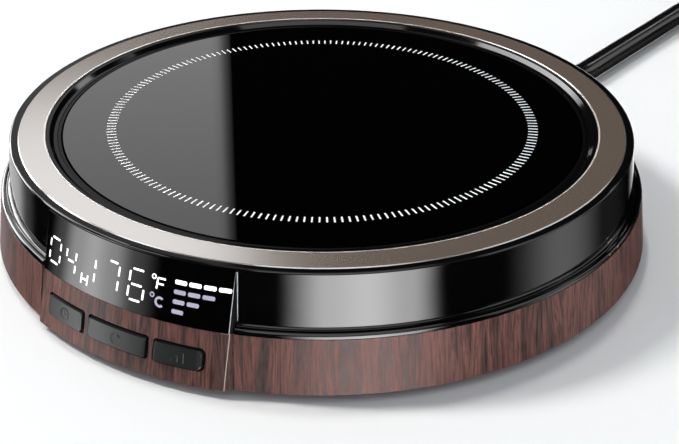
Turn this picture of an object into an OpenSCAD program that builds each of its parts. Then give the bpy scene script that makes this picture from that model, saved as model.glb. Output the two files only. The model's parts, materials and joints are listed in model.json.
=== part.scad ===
// Electric mug warmer: a low round heating plate in a two-part case, with a display window
// and three push keys on a front panel that leans out towards its foot.
// Millimetres. The origin is on the surface that it stands on, under the middle of the
// plate. The front faces -Y. An azimuth is measured from the front towards +X.

/* [Body] */
// Radius of the rim round the top
rim_r = 62; // [58:0.5:70]
// Height of the rim above the surface
body_h = 23; // [22:0.5:30]
// Height of the feet under the case
foot_h = 1.6; // [1:0.1:3]
// Height of the wood band
band_h = 10.2; // [9.6:0.1:11]
// How far the wood band's lower edge stands out past the rim
base_flare = 4; // [3.5:0.1:5]
// How far the wood band's upper edge stands out past the rim
band_flare = 2.7; // [2.4:0.1:3]
// How far the side wall leans out from the rim to its foot
wall_flare = 0.85; // [0.5:0.05:1]
// Wall thickness of the case mouldings
wall = 2; // [1.8:0.1:2.3]
// Gap left between pieces that fit together
fit = 0.1; // [0.05:0.01:0.15]

/* [Rim and plate] */
// Width of the black lip outside the trim ring
lip_w = 1.5; // [1.2:0.1:2.5]
// Rounding of the lip's outer edge
lip_round = 0.5; // [0.2:0.1:0.8]
// Width of the trim ring
ring_w = 5.5; // [4:0.1:7]
// Thickness of the trim ring
ring_t = 1.2; // [0.8:0.1:1.6]
// How far the trim ring stands above the lip
ring_proud = 0.15; // [0:0.05:0.3]
// Chamfer on both edges of the trim ring
ring_chamfer = 0.2; // [0.1:0.05:0.4]
// Width of the black bezel between the trim ring and the glass
bezel_w = 3; // [2.8:0.1:4]
// How far the glass lies below the rim
glass_drop = 0.8; // [0.5:0.1:1.5]
// Thickness of the glass
glass_t = 2.4; // [2:0.1:3]
// Thickness of the silicone gasket
gasket_t = 0.6; // [0.4:0.1:0.8]

/* [Front panel] */
// Half of the angle that the front panel takes up, in degrees
panel_half = 19.1; // [17:0.1:22]
// How far the panel's foot stands out past the rim
panel_flare = 5; // [4.8:0.1:6]
// Width of the bevel down each side of the panel, at its foot
bevel_w = 1.5; // [0.8:0.1:2.5]
// Depth of the recess that the display window is let into
seat_d = 1; // [0.8:0.1:1.2]
// How far the display window's top edge lies below the rim
window_drop = 0.45; // [0.3:0.05:1]

/* [Keys] */
// Width of the left and the right key
side_key_w = 9.2; // [8:0.1:9.6]
// Width of the middle key
middle_key_w = 12.8; // [10:0.1:13.4]
// Height of the keys
key_h = 3.6; // [3:0.1:3.8]
// Wood left between two keys
key_space = 1.5; // [1.2:0.1:2]
// Sideways place of the row of keys on the panel
keys_x = -0.5; // [-1:0.1:1]
// Height of the keys' middle above the foot of the case
keys_up = 4.8; // [4.5:0.1:5.2]
// How far the keys stand out of the panel
key_proud = 0.45; // [0.3:0.05:0.8]
// Gap all round a key in its window
key_gap = 0.3; // [0.2:0.05:0.4]
// Travel of a key
key_travel = 0.5; // [0.3:0.05:0.6]
// Corner radius of the keys
key_corner = 0.3; // [0.2:0.05:0.5]
// Corner radius of the right key's outer end
key_end_corner = 0.9; // [0.4:0.1:1.5]

/* [Heating] */
// Thickness of the aluminium heat spreader
spreader_t = 1.8; // [1.2:0.1:2.2]
// Thickness of the mica heating element
element_t = 0.8; // [0.6:0.1:1]
// Thickness of the insulation pad
pad_t = 1.5; // [1:0.1:1.8]
// Thickness of the steel clamp plate
clamp_t = 0.8; // [0.6:0.1:1]
// Radius of the hole for the temperature sensor through the element and the pad
sensor_hole_r = 8; // [6:0.5:10]

/* [Electronics] */
// Thickness of the circuit boards
board_t = 1.6; // [1:0.1:1.8]
// Width of the main board
board_w = 70; // [60:1:76]
// Depth of the main board
board_d = 46; // [42:1:50]
// Height of the posts under the main board
post_h = 2.6; // [2:0.1:3]
// Height of the parts on the main board
part_h = 5.2; // [4.5:0.1:5.6]
// Width of the lit display module
module_w = 36; // [30:0.5:37]
// Height of the lit display module
module_h = 6.6; // [5:0.1:7]
// Depth of the lit display module
module_d = 3; // [2:0.1:3.2]
// Depth of a switch behind a key
switch_d = 3.4; // [3:0.1:3.6]

/* [Base] */
// Thickness of the base cover
cover_t = 2; // [1.8:0.1:2.4]
// Radius of a foot
foot_r = 5; // [4:0.5:7]
// Distance of the feet from the middle
foot_place = 48; // [40:1:50]
// How deep the feet are let into the base cover
foot_sink = 0.6; // [0.4:0.1:0.9]
// Radius of the case screws' shanks
screw_r = 1.4; // [1:0.1:1.5]

/* [Cord] */
// Diameter of the mains cord
cord_d = 5.7; // [5:0.1:6.2]
// Azimuth of the cord outlet, in degrees
outlet_az = 168.5; // [160:0.5:190]
// Height of the cord outlet above the foot of the case
outlet_up = 4.8; // [4.6:0.1:5.2]
// Length of the strain relief outside the case
relief_l = 14; // [12:1:24]
// Length of the plug's body
plug_l = 26; // [22:1:32]
// Width of the plug's body
plug_w = 24; // [22:1:28]
// Thickness of the plug's body
plug_t = 14.8; // [13:0.1:16]

/* [Hidden] */

$fn = 48;
big_fn = 240;   // round the case
far = 200;      // longer than anything that it cuts
over = 1;       // how far a cutter runs past a face

// Heights
z_base = foot_h;
z_cover = z_base + cover_t;
z_band = z_base + band_h;
z_rim = body_h;
z_glass = z_rim - glass_drop;
z_spreader = z_glass - glass_t;
z_element = z_spreader - spreader_t;
z_pad = z_element - element_t;
z_clamp = z_pad - pad_t;

// Flange and cove above the wood band
flange_in = 0.1;      // the flange stands this far inside the wood band's edge
flange_h = 0.95;
flange_round = 0.6;
groove_w = 0.3;
groove_d = 0.5;
step_round = 0.14;     // edge between the groove and the cove
cove_r = 0.45;
cove_rise = 0.1;
spigot_h = 2;
z_flange = z_band + flange_h;
z_wall = z_flange + cove_rise + cove_r;

// Radii
base_r = rim_r + base_flare;
band_top_r = rim_r + band_flare;
wall_foot_r = rim_r + wall_flare;
flange_r = band_top_r - flange_in;
spigot_in = wall_foot_r - wall;
ring_out = rim_r - lip_w;
ring_in = ring_out - ring_w;
glass_r = ring_in - bezel_w;
gasket_leg = 0.5;     // thickness of the gasket under the glass
pocket_r = glass_r + gasket_t + 2 * fit;
ledge_w = 2.5 + pocket_r - glass_r;
ledge_in = pocket_r - ledge_w;
ledge_t = 1.5;
z_ledge = z_spreader - gasket_leg;
land_w = 0.7;         // flat part of the bezel next to the trim ring
land_drop = 0.12;
slope_w = 0.8;        // slope from the land down to the glass
floor_t = 1.4;        // under the trim ring
z_floor = z_rim - ring_t - floor_t;

function band_out(z) = base_r + (band_top_r - base_r) * (z - z_base) / band_h;
function band_in(z) = band_out(z) - wall;
function wall_out(z) = rim_r + wall_flare * (z_rim - z) / (z_rim - z_wall);
function panel_out(z) = rim_r + panel_flare * (z_rim - z) / (z_rim - z_base);
function seat(z) = wall_out(max(z, z_wall)) - seat_d;
spigot_out = band_in(z_band) - fit;

// Case bosses and screws
boss_r = 3;
boss_place = spigot_in - 0.65 - boss_r;
boss_az = [45, 135, 225, 315];
bore_r = screw_r + fit;
screw_head_r = 2 * screw_r;
screw_head_h = 1;
screw_l = 10;
clamp_boss_r = 2.6;
clamp_boss_place = ledge_in + clamp_boss_r + 0.1;
clamp_az = [60, 180, 300];
small_screw_r = 1;

// Front panel
z_window = z_rim - window_drop;
side_gap = asin(fit / rim_r);       // the gap beside the panel, in degrees
tab_in = 1;                         // degrees of a tab behind the panel
tab_out = 3.4;                      // degrees of a tab behind the wood band
tab_t = 1.2;
band_ledge_t = 1.2;
band_ledge_in = boss_place + boss_r + 0.8;
z_band_ledge = z_cover + band_ledge_t;

// Keys and what lies behind them
key_z = z_base + keys_up;
key_pitch = (side_key_w + middle_key_w) / 2 + key_space;
left_x = keys_x - key_pitch;
right_x = keys_x + key_pitch;
key_flange_w = key_space * 0.4;               // the flange behind a key's window
key_flange_h = 0.5;
key_flange_t = 0.9;
key_seat = 0.2;                     // from the panel's back to the key's flange
plunger_r = 1.3;
module_z = (z_band + z_window) / 2 - 0.6;
module_y = sqrt(pow(seat(module_z + module_h / 2), 2) - pow(module_w / 2, 2)) - 0.3;
board_y = module_y - module_d;      // front of the display board, as a distance to the front
display_board_t = 1.2;
display_board_w = 42;
display_board_low = z_cover + 0.6;
display_board_top = z_floor - 0.4;
switch_w = 6;
switch_h = 3.5;
switch_bore_r = 1.5;
stem_r = switch_bore_r - 0.3;
stem_out = 0.7 + key_travel - 0.5;  // how far a stem stands out of its switch
stem_l = 2.3;
stem_y = board_y + switch_d + stem_out;

// Main board and its parts
z_board = z_cover + post_h;
z_parts = z_board + board_t;
board_back = 15;                    // the board's middle lies this far behind the plate's
board_hole_in = 4;                  // from the board's edges to its screws
post_r = 2.6;
board_screw_r = 0.9;

// Cord outlet and clamp
cord_r = cord_d / 2;
outlet_z = z_base + outlet_up;
neck_r = cord_r + 0.65;
collar_r = neck_r + 0.8;
collar_out = 1.4;
relief_flange_r = neck_r + 1;
relief_flange_t = 1.2;
wall_at_outlet = band_out(outlet_z);
relief_in = sqrt(pow(band_in(outlet_z + relief_flange_r), 2) - pow(relief_flange_r, 2))
    - relief_flange_t - fit;
tip_place = wall_at_outlet + relief_l;
clamp_place = relief_in - 7.35;
tail_end = clamp_place - 7;
cord_clamp_w = 18;
cord_clamp_d = 6;
cord_clamp_t = 2.2;

// Free cord: its route from the strain relief to the coil, chosen by hand
start = [tip_place * sin(outlet_az), -tip_place * cos(outlet_az), outlet_z];
along = [sin(outlet_az), -cos(outlet_az), 0];
lead_route = concat([start, start + 3 * along], [
    [17.15, 84.5, 5.2], [17.75, 89, 3.85], [18.25, 93, 3.1], [18.75, 97.5, 2.85],
    [19.95, 109, 2.85], [21, 119, 2.85], [22.2, 130, 2.85], [23.4, 142, 2.85],
    [24.7, 153, 2.85], [27.4, 163, 2.85], [33, 172, 2.85], [41, 179.4, 2.85], [50.5, 184.7, 2.85],
    [60, 187.6, 2.85], [69.6, 188.5, 2.85]
]);
coil_at = [76, 152];
turn_r = 31.35;                     // middle turn of the lower layer
end_route = [
    [110.2, 152, 7.8], [111, 148.5, 8.1], [113, 143.5, 8.6], [115.2, 139, 8.3],
    [116.6, 135, 7.8], [117, 131.5, 7.4], [117, 128, 7.4]
];
plug_at = [117, 128, 7.4];
plug_relief_l = 18;
blade_gap = 12.7;                   // between the middles of the blades
blade_w = 6.3;
blade_t = 1.5;
blade_l = 17;

// ---- helpers ----

// Turns what is drawn at the front to azimuth az
module at_az(az) rotate([0, 0, az]) children();

// Part of a revolved profile, centred on the front
module front_sector(half, points)
    rotate([0, 0, -90 - half]) rotate_extrude(angle = 2 * half, $fn = big_fn) polygon(points);

module revolved(points) rotate_extrude($fn = big_fn) polygon(points);

module tube_z(r_out, r_in, z0, z1) translate([0, 0, z0]) difference() {
    cylinder(r = r_out, h = z1 - z0, $fn = big_fn);
    translate([0, 0, -over]) cylinder(r = r_in, h = z1 - z0 + 2 * over, $fn = big_fn);
}

module disc(r, z0, z1) translate([0, 0, z0]) cylinder(r = r, h = z1 - z0);

// A rod that runs inwards (towards +Y) from distance y_out to distance y_in, at the front
module front_rod(r, y_out, y_in, x = 0, z = 0)
    translate([x, -y_out, z]) rotate([-90, 0, 0]) cylinder(r = r, h = y_out - y_in);

function arc(cx, cy, r, from, to, n = 5) =
    [for (i = [0 : n]) [cx + r * cos(from + (to - from) * i / n),
                        cy + r * sin(from + (to - from) * i / n)]];

// A rectangle whose left and right corners have radii of their own, in the XY plane
module key_outline(w, h, left_r, right_r) {
    half_outline(w, h, right_r);
    mirror([1, 0]) half_outline(w, h, left_r);
}

module half_outline(w, h, r) {
    translate([-0.01, -h / 2 + r]) square([w / 2 + 0.01, h - 2 * r]);
    translate([-0.01, -h / 2]) square([w / 2 - r + 0.01, h]);
    for (s = [-1, 1]) translate([w / 2 - r, s * (h / 2 - r)]) circle(r = r, $fn = 32);
}

// A key's outline, grown by more all round and run right through the front of the case
module key_prism(x, w, left_r, right_r, more_w = 0, more_h = 0)
    translate([x, 0, key_z]) rotate([90, 0, 0]) linear_extrude(far)
        key_outline(w + 2 * more_w, key_h + 2 * more_h, left_r + min(more_w, more_h),
                    right_r + min(more_w, more_h));

// A rounded wire along points
module wire(points, r) {
    for (i = [0 : len(points) - 2]) {
        d = points[i + 1] - points[i];
        translate(points[i]) rotate([0, acos(d[2] / norm(d)), atan2(d[1], d[0])])
            cylinder(r = r, h = norm(d), $fn = 20);
    }
    for (i = [1 : len(points) - 2]) translate(points[i]) sphere(r = r + 0.05, $fn = 20);
}

// ---- case ----

module upper_shell() color("#161616") difference() {
    union() {
        revolved(concat(
            [[spigot_in, z_band - spigot_h], [spigot_out, z_band - spigot_h],
             [spigot_out, z_band], [flange_r, z_band]],
            arc(flange_r - flange_round, z_flange - flange_round, flange_round, 0, 90),
            [[flange_r - flange_round - groove_w / 2, z_flange],
             [flange_r - flange_round - groove_w / 2, z_flange - groove_d],
             [flange_r - flange_round - groove_w * 3 / 2, z_flange - groove_d]],
            arc(flange_r - flange_round - groove_w * 3 / 2 - step_round,
                z_flange + cove_rise - step_round, step_round, 0, 90, 4),
            arc(wall_foot_r + cove_r, z_wall, cove_r, 270, 180),
            arc(rim_r - lip_round, z_rim - lip_round, lip_round, 0, 90),
            [[ring_out, z_rim], [ring_out, z_rim - ring_t], [ring_in, z_rim - ring_t],
             [ring_in, z_rim - land_drop], [ring_in - land_w, z_rim - land_drop],
             [ring_in - land_w - slope_w, z_glass], [pocket_r, z_glass], [pocket_r, z_ledge], [ledge_in, z_ledge],
             [ledge_in, z_ledge - ledge_t], [ring_in, z_ledge - ledge_t],
             [ring_in, z_floor], [rim_r - wall, z_floor], [spigot_in, z_wall]]
        ));
        for (az = boss_az) at_az(az) translate([0, -boss_place, z_cover])
            cylinder(r = boss_r, h = z_floor - z_cover + floor_t / 2);
        for (az = clamp_az) at_az(az) translate([0, -clamp_boss_place, z_clamp])
            cylinder(r = clamp_boss_r, h = z_ledge - ledge_t / 2 - z_clamp);
    }
    // recess for the display window, and its opening for the lit module
    front_sector(panel_half, [
        [seat(z_window), z_window], [seat(z_wall), z_wall], [seat(z_wall), z_band],
        [spigot_out + fit / 2, z_band], [spigot_out + fit / 2, z_band - over],
        [base_r + far, z_band - over], [base_r + far, z_window]
    ]);
    translate([-module_w / 2 - 0.2, -far, module_z - module_h / 2 - 0.3])
        cube([module_w + 0.4, far - board_y + 3, module_h + 0.6]);
    for (az = boss_az) at_az(az) translate([0, -boss_place, z_cover - over])
        cylinder(r = bore_r, h = screw_l + over);
    at_az(outlet_az) front_rod(relief_flange_r + fit, base_r, relief_in - 1, z = outlet_z);
    for (az = clamp_az) at_az(az) translate([0, -clamp_boss_place, z_clamp - over])
        cylinder(r = small_screw_r + fit, h = z_ledge - 0.4 - z_clamp + over);
}

module trim_ring() color("#8d7b6b") {
    top = z_rim + ring_proud;
    revolved([
        [ring_in + fit / 2, z_rim - ring_t], [ring_out - fit / 2, z_rim - ring_t],
        [ring_out - fit / 2, top - ring_chamfer], [ring_out - fit / 2 - ring_chamfer, top],
        [ring_in + fit / 2 + ring_chamfer, top], [ring_in + fit / 2, top - ring_chamfer]
    ]);
}

module wood_band() color("#6f4238") difference() {
    union() {
        revolved([
            [band_in(z_base), z_base], [band_out(z_base), z_base],
            [band_out(z_band), z_band], [band_in(z_band), z_band]
        ]);
        // ledge that sits on the base cover
        revolved([
            [band_ledge_in, z_cover], [band_in(z_cover) + wall / 2, z_cover],
            [band_in(z_band_ledge) + wall / 2, z_band_ledge], [band_ledge_in, z_band_ledge]
        ]);
    }
    front_sector(panel_half, [
        [band_ledge_in - over, z_base - over], [base_r + far, z_base - over],
        [base_r + far, z_band + over], [band_ledge_in - over, z_band + over]
    ]);
    at_az(outlet_az) {
        front_rod(neck_r + fit, base_r + over, band_in(outlet_z) - wall, z = outlet_z);
        translate([-relief_flange_r - fit, -band_in(z_cover) + 0.2, z_cover - over])
            cube([2 * relief_flange_r + 2 * fit, wall * 2, band_ledge_t + over + fit]);
    }
}

module base_cover() color("#1d1d1d") difference() {
    union() {
        disc(band_in(z_cover) - 2 * fit, z_base, z_cover, $fn = big_fn);
        for (p = board_holes()) translate([p[0], p[1], z_cover - over])
            cylinder(r = post_r, h = post_h + over);
        // cradle and posts for the cord clamp
        at_az(outlet_az) translate([0, -clamp_place, 0]) {
            for (s = [-1, 1]) translate([s * cord_clamp_w / 2 - s * 3, 0, z_cover - over])
                cylinder(r = 2.8, h = outlet_z + cord_r - 0.7 - z_cover + over);
        }
        // grooved blocks that hold the display board
        for (s = [-1, 1]) translate([s * (display_board_w / 2 - 1) - 1.5, -board_y - 1.4, z_cover - over])
            cube([3, display_board_t + 3.4, 5 + over]);
        // stiffening ring
        tube_z(foot_place - foot_r - 1, foot_place - foot_r - 2.2, z_cover - over, z_cover + 1);
    }
    for (az = boss_az) at_az(az) translate([0, -boss_place, z_base - over]) {
        cylinder(r = screw_r + 2 * fit, h = cover_t + 2 * over);
        cylinder(r = screw_head_r + 2 * fit, h = screw_head_h + over);
    }
    for (az = [0 : 90 : 270]) at_az(az) translate([0, -foot_place, z_base - over])
        cylinder(r = foot_r + fit, h = foot_sink + over);
    for (p = board_holes()) translate([p[0], p[1], z_cover - 0.4])
        cylinder(r = board_screw_r + fit, h = post_h + over);
    at_az(outlet_az) {
        front_rod(cord_r + fit, far, tail_end - over, z = outlet_z);
        front_rod(neck_r + fit, far, relief_in - fit, z = outlet_z);
        for (s = [-1, 1]) translate([s * (cord_clamp_w / 2 - 3), -clamp_place, z_cover])
            cylinder(r = small_screw_r + fit, h = far);
    }
    translate([-display_board_w / 2 - fit, -board_y - fit / 2, display_board_low])
        cube([display_board_w + 2 * fit, display_board_t + fit, far]);
    // vents
    for (row = [-1, 0, 1]) for (i = [-4 : 4]) translate([i * 4, row * 15 - 7, 0])
        linear_extrude(far) vent_slot(1.6, 10);
}

module vent_slot(w, l) {
    translate([-w / 2, w / 2]) square([w, l - w]);
    for (y = [w / 2, l - w / 2]) translate([0, y]) circle(d = w, $fn = 24);
}

module rubber_feet() color("#2a2a2a") for (az = [0 : 90 : 270]) at_az(az)
    translate([0, -foot_place, 0]) rotate_extrude() polygon([
        [0, 0], [foot_r - 0.4, 0], [foot_r, 0.4], [foot_r, foot_h + foot_sink],
        [0, foot_h + foot_sink]
    ]);

module case_screws() color("#9a9a9a") for (az = boss_az) at_az(az)
    translate([0, -boss_place, z_base + fit]) screw(screw_r, screw_head_r, screw_head_h - fit, screw_l);

// A screw with its head at the bottom and a cross in the head
module screw(r, head_r, head_h, l) difference() {
    union() {
        cylinder(r = head_r, h = head_h);
        translate([0, 0, head_h / 2]) cylinder(r = r, h = l - 1);
    }
    for (a = [0, 90]) rotate([0, 0, a]) translate([-head_r * 0.6, -head_r * 0.13, -over])
        cube([head_r * 1.2, head_r * 0.26, over + head_h * 0.6]);
}

// ---- front panel ----

// What the bevel takes off each side of the panel
module bevel_cuts() {
    out = panel_flare - base_flare;
    rise = z_rim - z_base;
    n = [out * rise, -bevel_w * rise, bevel_w * base_flare];
    for (s = [0, 1]) mirror([s, 0, 0]) at_az(panel_half)
        translate([0, -base_r, z_base]) rotate([0, acos(n[2] / norm(n)), atan2(n[1], n[0])])
            translate([-far / 2, -far / 2, 0]) cube([far, far, far / 4]);
}

module display_window() color("#0c0c0e") difference() {
    front_sector(panel_half - side_gap, [
        [seat(z_wall) + fit, z_band], [panel_out(z_band), z_band],
        [panel_out(z_window - fit), z_window - fit], [seat(z_window) + fit, z_window - fit],
        [seat(z_wall) + fit, z_wall]
    ]);
    bevel_cuts();
}

module key_panel() color("#6f4238") {
    difference() {
        front_sector(panel_half - side_gap, [
            [band_in(z_base), z_base], [panel_out(z_base), z_base],
            [panel_out(z_band - fit), z_band - fit], [band_in(z_band), z_band - fit]
        ]);
        bevel_cuts();
        key_prism(left_x, side_key_w, key_corner, key_corner, key_gap, key_gap);
        key_prism(keys_x, middle_key_w, key_corner, key_corner, key_gap, key_gap);
        key_prism(right_x, side_key_w, key_corner, key_end_corner, key_gap, key_gap);
    }
    // tabs that lie behind the wood band and hold the panel
    low = z_band_ledge + fit;
    top = z_band - spigot_h - fit;
    for (s = [-1, 1]) at_az(s * (panel_half + (tab_out - tab_in) / 2))
        front_sector((tab_in + tab_out) / 2, [
            [band_in(low) - tab_t, low], [band_in(low) - fit, low],
            [band_in(top) - fit, top], [band_in(top) - tab_t, top]
        ]);
    for (s = [-1, 1]) at_az(s * (panel_half - side_gap - tab_in / 2))
        front_sector(tab_in / 2, [
            [band_in(low) - tab_t / 2, low], [band_in(low) + tab_t / 2, low],
            [band_in(top) + tab_t / 2, top], [band_in(top) - tab_t / 2, top]
        ]);
}

// ---- keys ----

module key(x, w, left_r, right_r) color("#393b3a") {
    low = z_base - over;
    intersection() {
        key_prism(x, w, left_r, right_r);
        revolved([
            [band_in(low) - key_seat - key_flange_t / 2, low], [panel_out(low) + key_proud, low],
            [panel_out(z_band) + key_proud, z_band], [band_in(z_band) - key_seat - key_flange_t / 2, z_band]
        ]);
    }
    intersection() {
        key_prism(x, w, left_r, right_r, key_flange_w, key_flange_h);
        revolved([
            [band_in(low) - key_seat - key_flange_t, low], [band_in(low) - key_seat, low],
            [band_in(z_band) - key_seat, z_band], [band_in(z_band) - key_seat - key_flange_t, z_band]
        ]);
    }
    // plunger that meets the switch's stem
    back = sqrt(pow(band_in(key_z) - key_seat - key_flange_t / 2, 2) - pow(x, 2));
    front_rod(plunger_r, back, stem_y, x, key_z);
}

module left_key() key(left_x, side_key_w, key_corner, key_corner);
module middle_key() key(keys_x, middle_key_w, key_corner, key_corner);
module right_key() key(right_x, side_key_w, key_corner, key_end_corner);

module stem(x) color("#b9b9b4") front_rod(stem_r, stem_y, stem_y - stem_l, x, key_z);
module left_stem() stem(left_x);
module middle_stem() stem(keys_x);
module right_stem() stem(right_x);

module tact_switches() color("#2b2b2b") for (x = [left_x, keys_x, right_x]) difference() {
    translate([x - switch_w / 2, -board_y - switch_d, key_z - switch_h / 2])
        cube([switch_w, switch_d, switch_h]);
    front_rod(switch_bore_r, board_y + switch_d + over, stem_y - stem_l - key_travel - 0.2, x, key_z);
}

module display_board() color("#1f5a34")
    translate([-display_board_w / 2, -board_y, display_board_low])
        cube([display_board_w, display_board_t, display_board_top - display_board_low]);

module display_module() color("#222226")
    translate([-module_w / 2, -module_y, module_z - module_h / 2])
        cube([module_w, module_d, module_h]);

// ---- heating plate ----

module glass_plate() color("#050506") revolved([
    [0, z_spreader], [glass_r, z_spreader], [glass_r, z_glass - 0.3], [glass_r - 0.3, z_glass],
    [0, z_glass]
]);

module plate_gasket() color("#1a1a1a") revolved([
    [glass_r - 2, z_ledge], [pocket_r - fit, z_ledge], [pocket_r - fit, z_glass - fit],
    [glass_r + fit, z_glass - fit], [glass_r + fit, z_spreader], [glass_r - 2, z_spreader]
]);

spreader_r = ledge_in - 1;
element_r = spreader_r - 3.5;
pad_r = element_r + 1;

module heat_spreader() color("#b8bcc0") disc(spreader_r, z_element, z_spreader, $fn = big_fn);

// Mica disc with its winding in two concentric grooves
module heating_element() color("#c9b27a") difference() {
    tube_z(element_r, sensor_hole_r, z_pad, z_element);
    for (r = [sensor_hole_r + 8, sensor_hole_r + 20]) tube_z(r + 3, r, z_pad - over, z_pad + 0.25);
}

module insulation_pad() color("#e4e2da") tube_z(pad_r, sensor_hole_r, z_clamp, z_pad);

module clamp_plate() color("#a9adb0") translate([0, 0, z_clamp - clamp_t]) difference() {
    union() {
        cylinder(r = pad_r, h = clamp_t, $fn = big_fn);
        for (az = clamp_az) at_az(az) {
            translate([0, -clamp_boss_place, 0]) cylinder(r = clamp_boss_r, h = clamp_t);
            translate([-clamp_boss_r, -clamp_boss_place, 0])
                cube([2 * clamp_boss_r, clamp_boss_place - pad_r + 4, clamp_t]);
        }
    }
    translate([0, 0, -over]) cylinder(r = sensor_r + fit, h = clamp_t + 2 * over);
    for (az = clamp_az) at_az(az) translate([0, -clamp_boss_place, -over])
        cylinder(r = small_screw_r + 2 * fit, h = clamp_t + 2 * over);
    for (az = [0 : 60 : 300]) at_az(az) translate([0, -pad_r * 0.62, -over])
        cylinder(r = pad_r * 0.13, h = clamp_t + 2 * over);
}

module clamp_screws() color("#c4c4c4") for (az = clamp_az) at_az(az)
    translate([0, -clamp_boss_place, z_clamp - clamp_t - 1.1]) screw(small_screw_r, 2.1, 1.1, 4);

sensor_r = 3;
module temperature_sensor() color("#7a3b2e") {
    disc(sensor_r, z_clamp - clamp_t - 0.4, z_element);
    disc(sensor_r + 1.6, z_clamp - clamp_t - 0.8, z_clamp - clamp_t);
}

fuse_r = 1.9;
fuse_at = [-24, -12];
module thermal_fuse() color("#c9c2b2")
    translate([fuse_at[0] - 6, fuse_at[1], z_clamp - clamp_t - fuse_r]) rotate([0, 90, 0]) {
        cylinder(r = fuse_r, h = 12);
        translate([0, 0, -4]) cylinder(r = 0.5, h = 20, $fn = 20);
    }

module fuse_clip() color("#a9adb0") translate([fuse_at[0] - 2, fuse_at[1], z_clamp - clamp_t]) {
    difference() {
        translate([0, 0, -fuse_r]) rotate([0, 90, 0]) cylinder(r = fuse_r + 0.7, h = 4);
        translate([-over, 0, -fuse_r]) rotate([0, 90, 0]) cylinder(r = fuse_r + fit / 2, h = 4 + 2 * over);
        translate([-over, -far / 2, -fuse_r]) cube([4 + 2 * over, far, far]);
    }
    for (s = [0, 1]) mirror([0, s, 0]) {
        translate([0, fuse_r + fit / 2, -fuse_r]) cube([4, 0.7 - fit / 2, fuse_r]);
        translate([0, fuse_r + fit / 2, -0.6]) cube([4, 4, 0.6]);
    }
}

// ---- electronics ----

function board_holes() = [
    for (sx = [-1, 1]) for (sy = [-1, 1])
        [sx * (board_w / 2 - board_hole_in), board_back + sy * (board_d / 2 - board_hole_in)]
];

module main_board() color("#1f5a34") difference() {
    translate([-board_w / 2, board_back - board_d / 2, z_board]) cube([board_w, board_d, board_t]);
    for (p = board_holes()) translate([p[0], p[1], z_board - over])
        cylinder(r = board_screw_r + 2 * fit, h = board_t + 2 * over);
}

module board_screws() color("#c4c4c4") for (p = board_holes())
    translate([p[0], p[1], z_parts + 1.2]) mirror([0, 0, 1]) screw(board_screw_r, 1.9, 1.2, 4.4);

module on_board(x, y, w, d, h) translate([x, board_back + y, z_parts]) cube([w, d, h]);

module power_relay() color("#2d6fb0") on_board(-24, 2, 18, 10, part_h);
module filter_capacitor() color("#d8b53a") on_board(-2, 6, 13, 6, part_h);
terminal_at = [5, 14];
module terminal_block() color("#3f8f55") difference() {
    on_board(terminal_at[0], terminal_at[1], 12, 7, part_h);
    for (x = [3, 9]) translate([terminal_at[0] + x, board_back + terminal_at[1] + 3, z_parts + part_h / 2])
        rotate([-90, 0, 0]) cylinder(r = wire_r + 0.15, h = 4 + over, $fn = 24);
}
module controller_chip() color("#161616") on_board(4, -14, 7, 7, 1.2);
module bulk_capacitor() color("#22324a")
    translate([-30, board_back - 8, z_parts + part_h / 2]) rotate([0, 90, 0])
        cylinder(d = part_h, h = 13);

// Ribbon between the two boards
module ribbon_cable() color("#b9b9b4") {
    front = -board_y + display_board_t;
    back = board_back - board_d / 2;
    translate([-6, front, z_board - 0.8]) cube([12, back - front + 3, 0.8]);
}

module heater_leads() color("#d8d2c2") for (s = [0, 1])
    wire([[17 + 4 * s, board_back - 6, z_parts], [17 + 4 * s, board_back - 6, z_clamp - clamp_t - 1.8],
          [17 + 4 * s, board_back - 15 - 2 * s, z_clamp - clamp_t - 1.8],
          [17 + 4 * s, board_back - 15 - 2 * s, z_clamp - clamp_t]], 0.9);

// ---- cord inlet ----

module cord_tail() color("#101010") at_az(outlet_az)
    front_rod(cord_r, relief_in, tail_end, z = outlet_z);

module cord_clamp() color("#1d1d1d") at_az(outlet_az) translate([0, -clamp_place, 0]) difference() {
    translate([-cord_clamp_w / 2, -cord_clamp_d / 2, outlet_z + cord_r - 0.7])
        cube([cord_clamp_w, cord_clamp_d, cord_clamp_t + 0.7]);
    translate([0, cord_clamp_d, outlet_z]) rotate([90, 0, 0])
        cylinder(r = cord_r + fit / 2, h = 2 * cord_clamp_d);
    for (s = [-1, 1]) translate([s * (cord_clamp_w / 2 - 3), 0, outlet_z])
        cylinder(r = small_screw_r + 2 * fit, h = far);
}

module cord_clamp_screws() color("#c4c4c4") at_az(outlet_az) for (s = [-1, 1])
    translate([s * (cord_clamp_w / 2 - 3), -clamp_place, outlet_z + cord_r + cord_clamp_t + 1.1])
        mirror([0, 0, 1]) screw(small_screw_r, 2, 1.1, 6);

wire_r = 0.95;
module mains_wires() {
    tail = at(outlet_az, tail_end - 0.6);
    bend_y = tail[1] - 2.4;
    wire_z = z_parts + part_h / 2;
    for (i = [0, 1]) color(i == 0 ? "#3f6fb0" : "#7a5230") let (
        x = tail[0] + (i * 2 - 1) * 1.3, hole_x = terminal_at[0] + 3 + 6 * i
    ) wire([[x, tail[1], outlet_z], [x, bend_y, outlet_z], [x, bend_y, wire_z],
            [hole_x, bend_y, wire_z], [hole_x, board_back + terminal_at[1] + 5, wire_z]], wire_r);
}

function at(az, r) = [r * sin(az), -r * cos(az)];

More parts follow.
